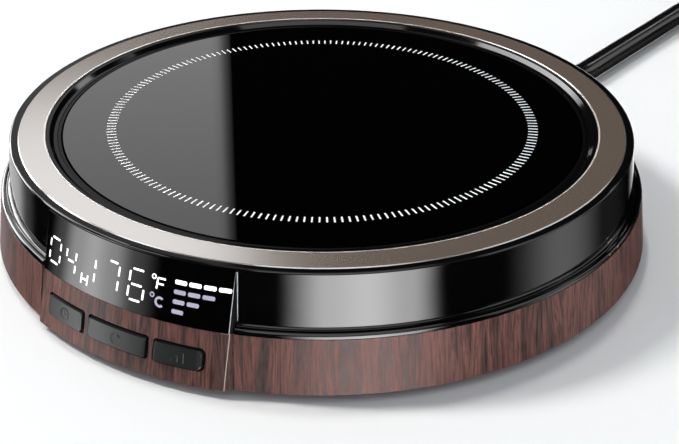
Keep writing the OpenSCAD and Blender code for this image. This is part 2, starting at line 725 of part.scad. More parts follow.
module strain_relief() color("#101010") at_az(outlet_az) {
    front_rod(neck_r, wall_at_outlet, relief_in, z = outlet_z);
    // D-shaped flange behind the wall
    intersection() {
        front_rod(relief_flange_r, relief_in + relief_flange_t, relief_in, z = outlet_z);
        translate([-far / 2, -far, z_cover + fit]) cube([far, far, far]);
    }
    // collar that follows the band
    difference() {
        front_rod(collar_r, wall_at_outlet + collar_out, wall_at_outlet - 1, z = outlet_z);
        difference() {
            revolved([[0, z_base - over], [band_out(z_base - over) + fit / 2, z_base - over],
                      [band_out(z_band) + fit / 2, z_band], [0, z_band]]);
            front_rod(neck_r - 0.2, far, 1, z = outlet_z);
        }
    }
    // ribbed tail
    translate([0, -wall_at_outlet, outlet_z]) rotate([90, 0, 0]) rotate_extrude() polygon(concat(
        [[0, 0]], relief_outline(), [[0, relief_l]]
    ));
}

relief_rings = 5;
function relief_outline() = let (
    root = neck_r + 0.3, tip = cord_r + 0.45, from = collar_out + 1,
    pitch = (relief_l - from - 1) / relief_rings
) concat(
    [[neck_r - 0.05, 0], [neck_r - 0.05, collar_out - 0.3], [root, collar_out - 0.3], [root, from]],
    [for (i = [0 : relief_rings - 1]) each let (
        z = from + i * pitch, r = root + (tip - root) * (z - from) / (relief_l - from)
    ) [[r - 0.05, z], [r - 0.5, z + 0.2], [r - 0.5, z + 0.9], [r - 0.1, z + 1.1]]],
    [[tip, relief_l]]
);

// ---- free cord ----

// A tube swept along points: one ring of sides corners at each point
sides = 10;
module swept(points, r) {
    n = len(points);
    function dir(i) = let (
        a = points[max(i - 1, 0)], b = points[min(i + 1, n - 1)]) (b - a) / norm(b - a);
    function right(i) = let (d = dir(i)) [d[1], -d[0], 0] / norm([d[0], d[1]]);
    rings = [for (i = [0 : n - 1]) let (u = right(i), v = cross(u, dir(i)))
        [for (k = [0 : sides - 1]) points[i] + r * (cos(360 * k / sides) * u + sin(360 * k / sides) * v)]];
    polyhedron(
        points = [for (ring = rings) each ring],
        faces = concat(
            [[for (k = [0 : sides - 1]) k]],
            [for (i = [0 : n - 2]) for (k = [0 : sides - 1]) let (j = (k + 1) % sides)
                [i * sides + j, i * sides + k, (i + 1) * sides + k]],
            [for (i = [0 : n - 2]) for (k = [0 : sides - 1]) let (j = (k + 1) % sides)
                [i * sides + j, (i + 1) * sides + k, (i + 1) * sides + j]],
            [[for (k = [sides - 1 : -1 : 0]) (n - 1) * sides + k]]
        )
    );
}

module cord_tube() color("#101010") swept(lead_route, cord_r);
module cord_end() color("#101010") swept(end_route, cord_r);

// Outer shape of five turns: three on the surface and two on top
module cord_coil() color("#101010") translate(coil_at) {
    wide = cord_d + cord_r;
    top = cord_d * (1 + sqrt(3) / 2);
    rotate_extrude($fn = 120) polygon([
        [turn_r - wide + 1, 0], [turn_r + wide - 1, 0], [turn_r + wide, cord_r / 2],
        [turn_r + wide, cord_r], [turn_r + cord_d - 0.4, top - 1], [turn_r + cord_d / 2 + 0.6, top],
        [turn_r - cord_d / 2 - 0.6, top], [turn_r - cord_d + 0.4, top - 1],
        [turn_r - wide, cord_r], [turn_r - wide, cord_r / 2]
    ]);
}

// Plug lying flat, drawn with its cord end at the origin and its blades towards -Y
module plug_body() color("#101010") translate(plug_at) {
    rotate([90, 0, 0]) rotate_extrude() polygon([
        [0, 0], [cord_r + 0.5, 0], [cord_r + 0.9, 4], [cord_r + 1.6, plug_relief_l],
        [cord_r + 1.6, plug_relief_l + 2], [0, plug_relief_l + 2]
    ]);
    // body: the outline from above and the outline from the side, cut into each other
    intersection() {
        translate([0, 0, -plug_t]) linear_extrude(2 * plug_t) plug_outline(plug_w, plug_w * 0.66, 3);
        rotate([0, 90, 0]) translate([0, 0, -plug_w]) linear_extrude(2 * plug_w)
            plug_outline(plug_t, plug_t * 0.8, 2.4);
    }
}

// Outline with its wide end at the blades, running towards -Y
module plug_outline(wide, narrow, r) {
    back = -plug_relief_l;
    front = back - plug_l;
    polygon(concat(
        arc(-narrow / 2 + r, back - r, r, 180, 90), arc(narrow / 2 - r, back - r, r, 90, 0),
        [[wide / 2, back - plug_l * 0.55], [wide / 2, front + 0.8], [wide / 2 - 0.8, front],
         [-wide / 2 + 0.8, front], [-wide / 2, front + 0.8], [-wide / 2, back - plug_l * 0.55]]
    ));
}

module plug_blades() color("#c8b070") translate(plug_at) for (s = [-1, 1]) difference() {
    translate([s * blade_gap / 2 - blade_t / 2, -plug_relief_l - plug_l - blade_l, -blade_w / 2])
        cube([blade_t, blade_l, blade_w]);
    translate([s * blade_gap / 2 - blade_t, -plug_relief_l - plug_l - blade_l + 4, 0])
        rotate([0, 90, 0]) cylinder(r = 1.6, h = 2 * blade_t);
}

// ---- what is drawn ----

upper_shell();
trim_ring();
glass_plate();
plate_gasket();
wood_band();
key_panel();
display_window();
left_key();
middle_key();
right_key();
base_cover();
rubber_feet();
case_screws();
heat_spreader();
heating_element();
insulation_pad();
clamp_plate();
clamp_screws();
temperature_sensor();
thermal_fuse();
fuse_clip();
display_board();
display_module();
tact_switches();
left_stem();
middle_stem();
right_stem();
main_board();
board_screws();
power_relay();
filter_capacitor();
bulk_capacitor();
terminal_block();
controller_chip();
cord_tail();
cord_clamp();
cord_clamp_screws();
mains_wires();
heater_leads();
ribbon_cable();
strain_relief();
cord_tube();
cord_coil();
cord_end();
plug_body();
plug_blades();
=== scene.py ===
"""Electric mug warmer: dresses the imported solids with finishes, prints, lit marks and cord."""

import json
import math

import bmesh
import bpy
from mathutils import Matrix, Vector


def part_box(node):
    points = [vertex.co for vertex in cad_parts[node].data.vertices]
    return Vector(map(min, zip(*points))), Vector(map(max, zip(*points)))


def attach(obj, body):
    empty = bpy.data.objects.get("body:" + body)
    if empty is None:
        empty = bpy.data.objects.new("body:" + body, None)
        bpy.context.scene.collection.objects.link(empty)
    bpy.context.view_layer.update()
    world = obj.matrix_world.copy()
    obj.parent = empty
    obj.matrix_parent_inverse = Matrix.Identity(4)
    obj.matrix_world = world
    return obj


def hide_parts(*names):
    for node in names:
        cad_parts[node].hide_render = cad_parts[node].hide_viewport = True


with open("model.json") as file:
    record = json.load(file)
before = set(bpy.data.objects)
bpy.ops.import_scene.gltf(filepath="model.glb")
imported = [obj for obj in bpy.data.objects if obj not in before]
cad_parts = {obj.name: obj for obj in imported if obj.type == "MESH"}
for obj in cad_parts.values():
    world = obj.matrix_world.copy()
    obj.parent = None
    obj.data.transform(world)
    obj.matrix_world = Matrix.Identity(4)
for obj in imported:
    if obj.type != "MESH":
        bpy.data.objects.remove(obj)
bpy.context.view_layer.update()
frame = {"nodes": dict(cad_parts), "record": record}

bl_info = {
    "name": "Mug warmer",
    "version": (1, 0, 0),
    "blender": (4, 5, 0),
    "location": "View3D > Sidebar > Mug warmer",
    "description": "Builds the finishes, display, keys and cord of a mug warmer around its solids",
    "category": "Object",
}

MM = 0.001
IN_MM = (1 / MM, 1 / MM, 1 / MM)
CASE = "case"

# Sizes that the solids have, in millimetres
FOOT_Z = 1.6
BAND_TOP_Z = 11.8
RIM_Z = 23.0
RIM_R = 62.0
PANEL_FLARE, BAND_FLARE = 5.0, 4.0
PANEL_HALF = 19.1
BEVEL_W = 1.5
WALL = 2.0
GAP = 0.1
WINDOW_TOP_Z, WALL_LOW_Z = 22.45, 13.3
WINDOW_BACK_LOW, WINDOW_BACK_TOP = 61.95, 61.14
GLASS_Z = 22.2
RING_IN, RING_OUT, RING_TOP, RING_LOW = 55.05, 60.45, 23.15, 21.8
RING_OUT_TOP = 23.07
RING_CHAMFER = 0.24
KEY_Z, KEY_H, KEY_PROUD = 6.4, 3.6, 0.45
KEY_CLEAR = 0.12
KEY_SEAT, KEY_FLANGE_T, KEY_FLANGE_W, KEY_FLANGE_H = 0.2, 0.9, 0.6, 0.5
PLUNGER_R = 1.3
CORD_R = 2.85
CORD_D = 2 * CORD_R
STACK_RISE = CORD_D * math.sqrt(3) / 2
OUTLET_AZ, RELIEF_TIP = 168.5, 79.388
OUTLET_Z = 6.4
COIL_AT = Vector((76.0, 152.0, 0.0))
TURN_R = 31.35
PLUG_AT = Vector((117.0, 128.0, 7.4))

# Fine forms that only the dressed pieces have
PANEL_FOOT_ROUND, PANEL_FRONT_ROUND = 0.12, 0.25
FILM_EDGE_W, FILM_EDGE_X, FILM_SIDE_X = 0.09, 18.0, 19.5
PRINT_SINK, PRINT_T = 0.01, 0.02
LIT_SINK, LIT_PROUD = 0.02, 0.03
KEY_MARK_W, KEY_MARK_SINK, KEY_MARK_PROUD, KEY_MARK_EDGE = 0.24, 0.05, 0.07, 0.04
KEY_ROUND, KEY_END_ROUND, KEY_SLICE = 0.3, 0.9, 0.5
OPENING_EDGE_R, OPENING_PROUD, OPENING_DROP, WALL_LEAN = 0.1, 0.06, 0.75, 0.85
TIE_AT, TIE_HALF, TIE_OUT, TIE_IN = 205, 5.0, 0.9, 0.15


# ---- meshes ----


def turns(count):
    """Angles evenly round a circle."""
    return [math.tau * i / count for i in range(count)]


def front(turn):
    """Direction at an angle from the front, seen from above."""
    return Vector((math.sin(turn), -math.cos(turn)))


def polar(r, turn, z):
    """Point at a radius, an angle and a height."""
    return Vector((r * math.cos(turn), r * math.sin(turn), z))


def panel_r(z):
    """Radius of the front panel's surface at height z."""
    return RIM_R + PANEL_FLARE * (RIM_Z - z) / (RIM_Z - FOOT_Z)


def band_r(z):
    """Radius of the wood band's cone, which the wall's foot also follows, at height z."""
    return RIM_R + BAND_FLARE * (RIM_Z - z) / (RIM_Z - FOOT_Z)


def finish_mesh(name, bm, looks, body, sharp=32.0, replaces=()):
    """Turns a bmesh in millimetres into a piece that rides on a body, with its finishes."""
    bmesh.ops.recalc_face_normals(bm, faces=bm.faces)
    for face in bm.faces:
        face.smooth = True
    limit = math.radians(sharp)
    for edge in bm.edges:
        edge.smooth = len(edge.link_faces) == 2 and edge.calc_face_angle(0.0) < limit
    bmesh.ops.scale(bm, vec=(MM, MM, MM), verts=bm.verts)
    mesh = bpy.data.meshes.new(name)
    bm.to_mesh(mesh)
    bm.free()
    for look in looks:
        mesh.materials.append(finish(look) if isinstance(look, str) else look)
    piece = bpy.data.objects.new(name, mesh)
    bpy.context.scene.collection.objects.link(piece)
    if body:
        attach(piece, body)
    if replaces:
        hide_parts(*replaces)
    return piece


def rounded_edges(node, width, steps, picks):
    """Copies a solid's mesh and rounds the sharp edges whose ends picks() takes."""
    bm = bmesh.new()
    bm.from_mesh(frame["nodes"][node].data)
    bmesh.ops.scale(bm, vec=IN_MM, verts=bm.verts)
    bmesh.ops.remove_doubles(bm, verts=bm.verts, dist=0.002)
    limit = math.radians(20)
    picked = [e for e in bm.edges if len(e.link_faces) == 2 and e.calc_face_angle(0.0) > limit
              and all(picks(v.co) for v in e.verts)]
    made = bmesh.ops.bevel(bm, geom=picked, offset=width, segments=steps, profile=0.5,
                           affect="EDGES", clamp_overlap=True)
    for face in made["faces"]:
        face.material_index = 1
    return bm


def round_corner(a, corner, b, radius, steps=5):
    """Points of a rounded corner between a and b."""
    a, corner, b = Vector(a), Vector(corner), Vector(b)
    into, out = (a - corner).normalized(), (b - corner).normalized()
    reach = radius / math.tan(into.angle(out) / 2)
    start, end = corner + into * reach, corner + out * reach
    made = []
    for i in range(steps + 1):
        t = i / steps
        made.append((1 - t) ** 2 * start + 2 * t * (1 - t) * corner + t * t * end)
    return made


def panel_section(z, back_r, steps=48):
    """Outline across the leaning front panel at height z, with its bevels."""
    half = math.radians(PANEL_HALF) - GAP / RIM_R
    outer, band = panel_r(z), band_r(z)
    bevel = BEVEL_W * (outer - band) / (PANEL_FLARE - BAND_FLARE)
    turn = half - bevel / outer
    foot, edge, near = front(half) * band, front(turn) * outer, front(turn - 0.02) * outer
    # the roundings shrink with the bevel, which ends in a point at the rim
    size = min(1.0, bevel / 0.5)
    right = [front(half) * back_r]
    right += round_corner(right[0], foot, edge, PANEL_FOOT_ROUND * size)
    right += round_corner(foot, edge, near, PANEL_FRONT_ROUND * size)
    last = math.atan2(right[-1].x, -right[-1].y)
    face = [front(last * (1 - 2 * i / steps)) * outer for i in range(1, steps)]
    left = [Vector((-p.x, p.y)) for p in reversed(right)]
    back = [front(half * (2 * i / steps - 1)) * back_r for i in range(1, steps)]
    return [Vector((p.x, p.y, z)) for p in right + face + left + back]


def lathe(bm, profile, steps, finishes):
    """Revolves a closed profile of (radius, height), with a finish for each of its sides."""
    rings = [[bm.verts.new(polar(r, turn, z)) for r, z in profile] for turn in turns(steps)]
    count = len(profile)
    for i in range(steps):
        here, there = rings[i], rings[(i + 1) % steps]
        for j in range(count):
            k = (j + 1) % count
            face = bm.faces.new((here[j], there[j], there[k], here[k]))
            face.material_index = finishes[j]


def skin(bm, a, b, finishes=None):
    """Joins two rings of corners by faces; finishes gives each of them its material."""
    for j in range(len(a)):
        k = (j + 1) % len(a)
        face = bm.faces.new((a[j], a[k], b[k], b[j]))
        face.material_index = finishes[j] if finishes else 0


def loft(bm, rings, closed_ends=True, finishes=None):
    """Skins rings that have the same number of points."""
    made = [[bm.verts.new(p) for p in ring] for ring in rings]
    for a, b in zip(made, made[1:]):
        skin(bm, a, b, finishes)
    if closed_ends:
        bm.faces.new(list(reversed(made[0])))
        bm.faces.new(made[-1])


def plate(bm, outline, low, high, edge=0.0, steps=1):
    """Extrudes an outline of (x, z) points from lift low to lift high; edge rounds its front."""
    back = [bm.verts.new((x, low, z)) for x, z in outline]
    face = [bm.verts.new((x, high, z)) for x, z in outline]
    count = len(outline)
    bm.faces.new(back)
    top = bm.faces.new(list(reversed(face)))
    for j in range(count):
        k = (j + 1) % count
        bm.faces.new((back[j], face[j], face[k], back[k]))
    if edge:
        bmesh.ops.bevel(bm, geom=list(top.edges), offset=edge, segments=steps, profile=0.5,
                        affect="EDGES", clamp_overlap=True)


def slice_across(bm, x_from, x_to, pitch):
    """Cuts the mesh at even steps across, so that it can follow a curve."""
    x = math.floor(x_from / pitch) * pitch
    while x < x_to:
        geom = list(bm.verts) + list(bm.edges) + list(bm.faces)
        bmesh.ops.bisect_plane(bm, geom=geom, dist=1e-5, plane_co=(x, 0, 0), plane_no=(1, 0, 0))
        x += pitch


def wrap_on_panel(bm):
    """Lays a flat mesh of (x, lift, z) on the front panel's surface."""
    for v in bm.verts:
        x, lift, z = v.co
        v.co.y = -math.sqrt((panel_r(z) + lift) ** 2 - x ** 2)


def rounded_box(x0, x1, z0, z1, left, right=None, steps=6):
    """Outline of a rectangle with rounded corners, counter-clockwise."""
    right = left if right is None else right
    corners = ((x1 - right, z1 - right, right), (x0 + left, z1 - left, left),
               (x0 + left, z0 + left, left), (x1 - right, z0 + right, right))
    made = []
    for quarter, (x, z, r) in enumerate(corners):
        for i in range(steps + 1):
            turn = math.radians(90 * quarter + 90 * i / steps)
            made.append((x + r * math.cos(turn), z + r * math.sin(turn)))
    return made


def stroke(a, b, width, point):
    """Outline of a bar from a to b whose ends come to a blunt point."""
    a, b = Vector(a), Vector(b)
    along = (b - a).normalized()
    side = Vector((-along.y, along.x)) * width / 2
    cut = along * width * point
    return [tuple(p) for p in (
        a, a + cut - side, b - cut - side, b, b - cut + side, a + cut + side)]


def arc_band(cx, cz, r, width, start, sweep, steps=20):
    """Outline of part of a ring."""
    def at(radius, i):
        turn = math.radians(start + sweep * i / steps)
        return (cx + radius * math.cos(turn), cz + radius * math.sin(turn))
    return ([at(r + width / 2, i) for i in range(steps + 1)]
            + [at(r - width / 2, i) for i in range(steps, -1, -1)])


# ---- finishes ----


def add(tree, kind, inputs=None, **settings):
    """Adds a node, sets it and links or fills its sockets."""
    node = tree.nodes.new(kind)
    for key, value in settings.items():
        setattr(node, key, value)
    for key, value in (inputs or {}).items():
        if isinstance(value, bpy.types.NodeSocket):
            tree.links.new(value, node.inputs[key])
        else:
            node.inputs[key].default_value = value
    return node


def principled(name, colour, roughness, **values):
    """A material with its shader's own sockets set; returns it, its tree and the shader."""
    material = bpy.data.materials.new(name)
    material.use_nodes = True
    tree = material.node_tree
    shader = tree.nodes["Principled BSDF"]
    shader.inputs["Base Color"].default_value = (*colour, 1.0)
    shader.inputs["Roughness"].default_value = roughness
    for key, value in values.items():
        shader.inputs[key.replace("_", " ")].default_value = value
    return material, tree, shader


def source(tree, output="Object"):
    """The piece's own coordinates, or its surface's direction."""
    return add(tree, "ShaderNodeTexCoord").outputs[output]


def place(tree, scale=IN_MM):
    """Coordinates in millimetres of the piece, stretched by scale."""
    return add(tree, "ShaderNodeMapping", {
        "Vector": source(tree), "Scale": scale}).outputs["Vector"]


def component(tree, vector, axis):
    """One coordinate of a vector."""
    return add(tree, "ShaderNodeSeparateXYZ", {0: vector}).outputs[axis]


def vector_math(tree, operation, a, b=None, scale=None):
    """Vector arithmetic on a, with b or with a scale."""
    inputs = {i: value for i, value in ((0, a), (1, b), (3, scale)) if value is not None}
    made = add(tree, "ShaderNodeVectorMath", inputs, operation=operation)
    return made.outputs["Value" if operation == "DOT_PRODUCT" else "Vector"]


def outward(tree):
    """Direction away from the warmer's axis."""
    flat = vector_math(tree, "MULTIPLY", source(tree), (1.0, 1.0, 0.0))
    return vector_math(tree, "NORMALIZE", flat)


def noise(tree, vector, scale, detail=4.0, rough=0.55):
    """A cloud pattern from 0 to 1."""
    return add(tree, "ShaderNodeTexNoise", {
        "Vector": vector, "Scale": scale, "Detail": detail, "Roughness": rough}).outputs["Fac"]


def spread(tree, value, low, high, from_low=0.3, from_high=0.7):
    """A value carried over from one range to another, and held at its ends."""
    return add(tree, "ShaderNodeMapRange", {
        "Value": value, "From Min": from_low, "From Max": from_high,
        "To Min": low, "To Max": high}).outputs["Result"]


def ramp(tree, value, stops, blend="LINEAR"):
    """A colour for each value, from stops of (place, colour)."""
    node = add(tree, "ShaderNodeValToRGB", {"Fac": value})
    node.color_ramp.interpolation = blend
    points = node.color_ramp.elements
    while len(points) < len(stops):
        points.new(0.5)
    for point, (at, tone) in zip(points, stops):
        point.position = at
    for point, (at, tone) in zip(sorted(points, key=lambda p: p.position), stops):
        point.color = (*tone, 1.0)
    return node.outputs["Color"]


def bump(tree, shader, height, strength, distance, **inputs):
    """Relief of a depth in millimetres."""
    made = add(tree, "ShaderNodeBump", {
        "Height": height, "Strength": strength, "Distance": distance * MM, **inputs})
    tree.links.new(made.outputs["Normal"], shader.inputs["Normal"])


def uneven_gloss(tree, shader, cloud, low, high):
    """Roughness that follows a cloud pattern."""
    tree.links.new(spread(tree, cloud, low, high), shader.inputs["Roughness"])


def mix(tree, factor, a, b, blend="MIX"):
    """Two colours blended by a factor."""
    node = add(tree, "ShaderNodeMix", {"Factor": factor}, data_type="RGBA", blend_type=blend)
    for socket, value in ((node.inputs[6], a), (node.inputs[7], b)):
        if isinstance(value, bpy.types.NodeSocket):
            tree.links.new(value, socket)
        else:
            socket.default_value = (*value, 1.0)
    return node.outputs[2]


def moulded(name, colour, roughness, grain=1.2, depth=0.02, vary=0.12, **values):
    """Moulded plastic or rubber: a fine moulded grain and uneven gloss."""
    material, tree, shader = principled(name, colour, roughness, **values)
    where = place(tree)
    cloud = noise(tree, where, 0.08, 3.0)
    uneven_gloss(tree, shader, cloud, roughness * (1 - vary), roughness * (1 + vary))
    bump(tree, shader, noise(tree, where, grain, 2.0), 0.5, depth)
    return material


def gloss_shell(name, colour):
    """Polished black moulding whose level lip is a little duller than its walls and flange."""
    material, tree, shader = principled(name, colour, 0.07)
    upward = component(tree, source(tree, "Normal"), "Z")
    height = component(tree, source(tree), "Z")
    near_rim = spread(tree, height, 0.0, 1.0, 15 * MM, 18 * MM)
    level = add(tree, "ShaderNodeMath", {0: upward, 1: near_rim}, operation="MULTIPLY").outputs[0]
    tree.links.new(spread(tree, level, 0.5, 0.05, 0.75, 0.97), shader.inputs["Specular IOR Level"])
    where = place(tree)
    uneven_gloss(tree, shader, noise(tree, where, 0.08, 3.0), 0.06, 0.09)
    bump(tree, shader, noise(tree, where, 0.25, 2.0), 0.5, 0.003)
    return material


def plate_glass(name, colour):
    """Black glass whose ground chamfer is duller than its face."""
    material, tree, shader = principled(name, colour, 0.008)
    upward = component(tree, source(tree, "Normal"), "Z")
    face = spread(tree, upward, 0.0, 0.45, 0.95, 0.99)
    tree.links.new(face, shader.inputs["Specular IOR Level"])
    uneven_gloss(tree, shader, noise(tree, place(tree), 0.1, 2.0), 0.006, 0.01)
    return material


def turned_trim(name, colour, roughness):
    """Lacquered trim metal, turned a touch lower towards its outer edge."""
    material, tree, shader = principled(name, colour, roughness, IOR=6.0)
    lean = vector_math(tree, "SCALE", outward(tree), scale=0.032)
    leaning = vector_math(tree, "ADD", lean, source(tree, "Normal"))
    grain = noise(tree, place(tree), 6.0, 2.0)
    bump(tree, shader, grain, 0.15, 0.0004, Normal=leaning)
    uneven_gloss(tree, shader, grain, roughness * 0.95, roughness * 1.05)
    return material


def metal(name, colour, roughness, stretch, depth):
    """Bare metal with fine lines, drawn out by stretch."""
    material, tree, shader = principled(name, colour, roughness, Metallic=1.0)
    lines = noise(tree, place(tree, stretch), 1.0, 3.0)
    uneven_gloss(tree, shader, lines, roughness * 0.85, roughness * 1.15)
    bump(tree, shader, lines, 0.4, depth)
    return material


def along_band(tree, rise):
    """Coordinates that follow the band round its axis, so that a grain on them stands upright."""
    flat = vector_math(tree, "SCALE", outward(tree), scale=65.0)
    height = vector_math(tree, "MULTIPLY", source(tree), (0.0, 0.0, rise))
    return vector_math(tree, "ADD", flat, height)


def wood_film(name, light, mid, dark, roughness, specular=0.22):
    """Printed rosewood film with its grain running up the band, and painted shade that darkens it
    towards the front left, round the keys, on the side that the key lamp lights.
    """
    material, tree, shader = principled(name, mid, roughness, Specular_IOR_Level=specular)
    sway = noise(tree, along_band(tree, 150.0), 0.2, 1.0)
    sway = vector_math(tree, "SCALE", (3.2, 3.2, 0.0), scale=sway)

    def grain(rise, scale, detail):
        swayed = vector_math(tree, "ADD", along_band(tree, rise), sway)
        return noise(tree, swayed, scale, detail, 0.6)

    bands, fine, pores = grain(70.0, 0.42, 3.0), grain(55.0, 2.5, 3.0), grain(60.0, 5.5, 2.0)
    base = ramp(tree, bands, [(0.28, dark), (0.38, mid), (0.46, light), (0.53, mid),
                              (0.60, dark), (0.66, mid), (0.76, light)])
    lines = ramp(tree, fine, [(0.34, (0.34, 0.32, 0.33)), (0.47, (0.95, 0.95, 0.95)),
                              (0.66, (1.4, 1.3, 1.28))])
    base = mix(tree, 0.9, base, lines, "MULTIPLY")
    specks = ramp(tree, pores, [(0.36, (0.35, 0.32, 0.33)), (0.46, (1.0, 1.0, 1.0))])
    base = mix(tree, 0.7, base, specks, "MULTIPLY")
    # painted shade: the film's colour is darkened towards the front left, where the key lamp
    # falls, so that side looks less lit
    painted_shade_weight = vector_math(tree, "DOT_PRODUCT", along_band(tree, 0.0), (-0.342, -0.94, 0.0))
    depth = ramp(tree, spread(tree, painted_shade_weight, 0.0, 1.0, 13.0, 59.0), [
        (0.0, (1.0, 1.0, 1.0)), (1.0, (0.70, 0.68, 0.67))])
    base = mix(tree, 1.0, base, depth, "MULTIPLY")
    tree.links.new(base, shader.inputs["Base Color"])
    uneven_gloss(tree, shader, fine, roughness * 0.85, roughness * 1.2)
    bump(tree, shader, fine, 0.25, 0.02)
    return material


def lit(name, colour, strength):
    """A lit mark behind the window."""
    material, tree, shader = principled(name, colour, 0.4, Emission_Strength=strength)
    shader.inputs["Emission Color"].default_value = (*colour, 1.0)
    bump(tree, shader, noise(tree, place(tree), 2.0), 0.1, 0.002)
    return material


def board_lacquer(name, colour, copper):
    """Circuit board: lacquer over a net of tracks."""
    material, tree, shader = principled(name, colour, 0.35)
    cells = add(tree, "ShaderNodeTexVoronoi", {"Vector": place(tree), "Scale": 0.35},
                feature="DISTANCE_TO_EDGE").outputs["Distance"]
    tracks = ramp(tree, cells, [(0.03, copper), (0.06, colour)])
    tree.links.new(tracks, shader.inputs["Base Color"])
    bump(tree, shader, cells, 0.3, 0.03)
    return material


def flaked(name, colour, dark, scale):
    """Pressed mica or fibre: uneven flakes."""
    material, tree, shader = principled(name, colour, 0.6)
    cells = add(tree, "ShaderNodeTexVoronoi", {"Vector": place(tree), "Scale": scale})
    tone = spread(tree, cells.outputs["Distance"], 0.0, 1.0, 0.0, 0.8)
    tree.links.new(mix(tree, tone, colour, dark), shader.inputs["Base Color"])
    bump(tree, shader, cells.outputs["Distance"], 0.4, 0.05)
    return material


FINISHES = {}


def finish(name):
    """The material of that name, made once."""
    if name not in FINISHES:
        FINISHES[name] = makers(bpy.context.scene.warmer_colours)[name](name)
    return FINISHES[name]


def plain(colour, roughness, *fine, **values):
    """A maker of plain moulded pieces."""
    return lambda name: moulded(name, colour, roughness, *fine, **values)


def makers(looks):
    """What makes each finish, by name."""
    film = (looks.wood_light, looks.wood_mid, looks.wood_dark)
    upright, level = (2500.0, 250.0, 2500.0), (300.0, 2500.0, 2500.0)
    return {
        "gloss_black": lambda name: gloss_shell(name, looks.shell),
        "champagne": lambda name: turned_trim(name, looks.trim, 0.2),
        "champagne_polished": plain(looks.trim_edge, 0.14, 4.0, 0.001, IOR=4.0),
        "champagne_edge": plain((0.34, 0.29, 0.26), 0.14, 4.0, 0.001, IOR=4.0),
        "black_glass": lambda name: plate_glass(name, looks.glass),
        "black_rubber": plain((0.012, 0.012, 0.012), 0.65, 2.5, 0.03),
        "wood_grain": lambda name: wood_film(name, *film, 0.42),
        "wood_side": lambda name: wood_film(name, *film, 0.5, 0.08),
        "smoked_window": plain(looks.window, 0.05, 0.2, 0.002, 0.25, IOR=1.5),
        "window_side": plain(looks.window, 0.3, 0.5, 0.002, Specular_IOR_Level=0.03),
        # near white: a painted highlight on the window's right front edge and on the opening's
        # edge
        "edge_highlight_white": plain((0.92, 0.92, 0.93), 0.3, 0.5, 0.002),
        # paler than the wood: a painted highlight on the key panel's rounded right edge
        "film_edge_highlight": plain((0.30, 0.20, 0.17), 0.35, 0.5, 0.002),
        "gasket_black": plain((0.003, 0.003, 0.003), 0.3, 2.5, 0.002, Specular_IOR_Level=0.08),
        "key_plastic": plain(looks.keys, 0.36, 3.0, 0.006, Specular_IOR_Level=0.35),
        "base_plastic": plain((0.013, 0.013, 0.014), 0.5, 2.0, 0.05),
        "steel": lambda name: metal(name, (0.52, 0.53, 0.54), 0.3, (2500.0, 300.0, 2500.0), 0.01),
        "bare_aluminium": lambda name: metal(name, (0.72, 0.73, 0.74), 0.35, level, 0.01),
        "mica": lambda name: flaked(name, (0.52, 0.38, 0.18), (0.30, 0.2, 0.1), 0.6),
        "pad_fibre": lambda name: flaked(name, (0.74, 0.72, 0.66), (0.55, 0.53, 0.48), 1.6),
        "sensor_brown": plain((0.18, 0.045, 0.03), 0.4),
        "board_green": lambda name: board_lacquer(name, (0.02, 0.11, 0.04), (0.06, 0.2, 0.07)),
        "pale_plastic": plain((0.56, 0.54, 0.48), 0.4),
        "relay_blue": plain((0.03, 0.15, 0.42), 0.3),
        "capacitor_yellow": plain((0.65, 0.45, 0.05), 0.3),
        "cord_black": plain(looks.cord, 0.2, 0.6, 0.008, 0.2),
        "wire_blue": plain((0.05, 0.15, 0.42), 0.35),
        "brass": lambda name: metal(name, (0.62, 0.48, 0.25), 0.22, upright, 0.004),
        "print_white": plain((0.95, 0.95, 0.95), 0.5, 4.0, 0.002),
        "lit_white": lambda name: lit(name, (1.0, 1.0, 1.0), 1.0),
        "lit_lilac": lambda name: lit(name, (0.30, 0.28, 0.36), 0.85),
    }


def paint_node(node, material=None):
    """Gives a solid its finish, by the slot that the record names unless told."""
    slots = {s["node"]: s["material_slot"] for s in frame["record"]["subparts"]}
    piece = frame["nodes"][node]
    piece.data.materials.clear()
    piece.data.materials.append(finish(material or slots[node]))


# ---- settings ----


def colour(label, default, about):
    """A colour that the user can set."""
    return bpy.props.FloatVectorProperty(name=label, description=about, subtype="COLOR",
                                         size=3, min=0.0, max=1.0, default=default)


def length(label, default, about):
    """A length that the user can set; the default is in millimetres."""
    return bpy.props.FloatProperty(name=label, description=about, subtype="DISTANCE",
                                   unit="LENGTH", min=0.0, default=default * MM)


class WarmerColours(bpy.types.PropertyGroup):
    shell: colour("Shell", (0.0028, 0.0028, 0.003), "Gloss black of the upper shell")
    glass: colour("Glass", (0.0003, 0.0003, 0.0003), "Black of the heating plate's glass")
    window: colour("Window", (0.0014, 0.0014, 0.0016), "Smoked black of the display window")
    trim: colour("Trim ring", (0.216, 0.16, 0.124), "Champagne of the ring's flat face")
    trim_edge: colour("Trim edges", (0.84, 0.76, 0.70), "Bright chamfers of the ring")
    wood_light: colour("Wood, light", (0.26, 0.112, 0.090), "Lightest grain of the wood film")
    wood_mid: colour("Wood, middle", (0.175, 0.080, 0.067), "Middle tone of the wood film")
    wood_dark: colour("Wood, dark", (0.082, 0.050, 0.047), "Dark streaks of the wood film")
    keys: colour("Keys", (0.013, 0.0145, 0.014), "Charcoal of the three keys")
    cord: colour("Cord", (0.005, 0.005, 0.005), "Black of the mains cord and plug")


class WarmerSizes(bpy.types.PropertyGroup):
    tick_count: bpy.props.IntProperty(name="Ticks", default=200, min=12,
                                      description="Number of ticks in the printed ring")
    tick_in: length("Ticks from", 41.3, "Inner radius of the ring of ticks")
    tick_out: length("Ticks to", 43.25, "Outer radius of the ring of ticks")
    tick_width: length("Tick width", 0.34, "Width of one tick")
    stroke_width: length("Segment width", 0.38, "Width of the display's segments")
    key_rounding: length("Key rounding", 0.28, "Rounding of the keys' front edges")


# ---- pieces ----


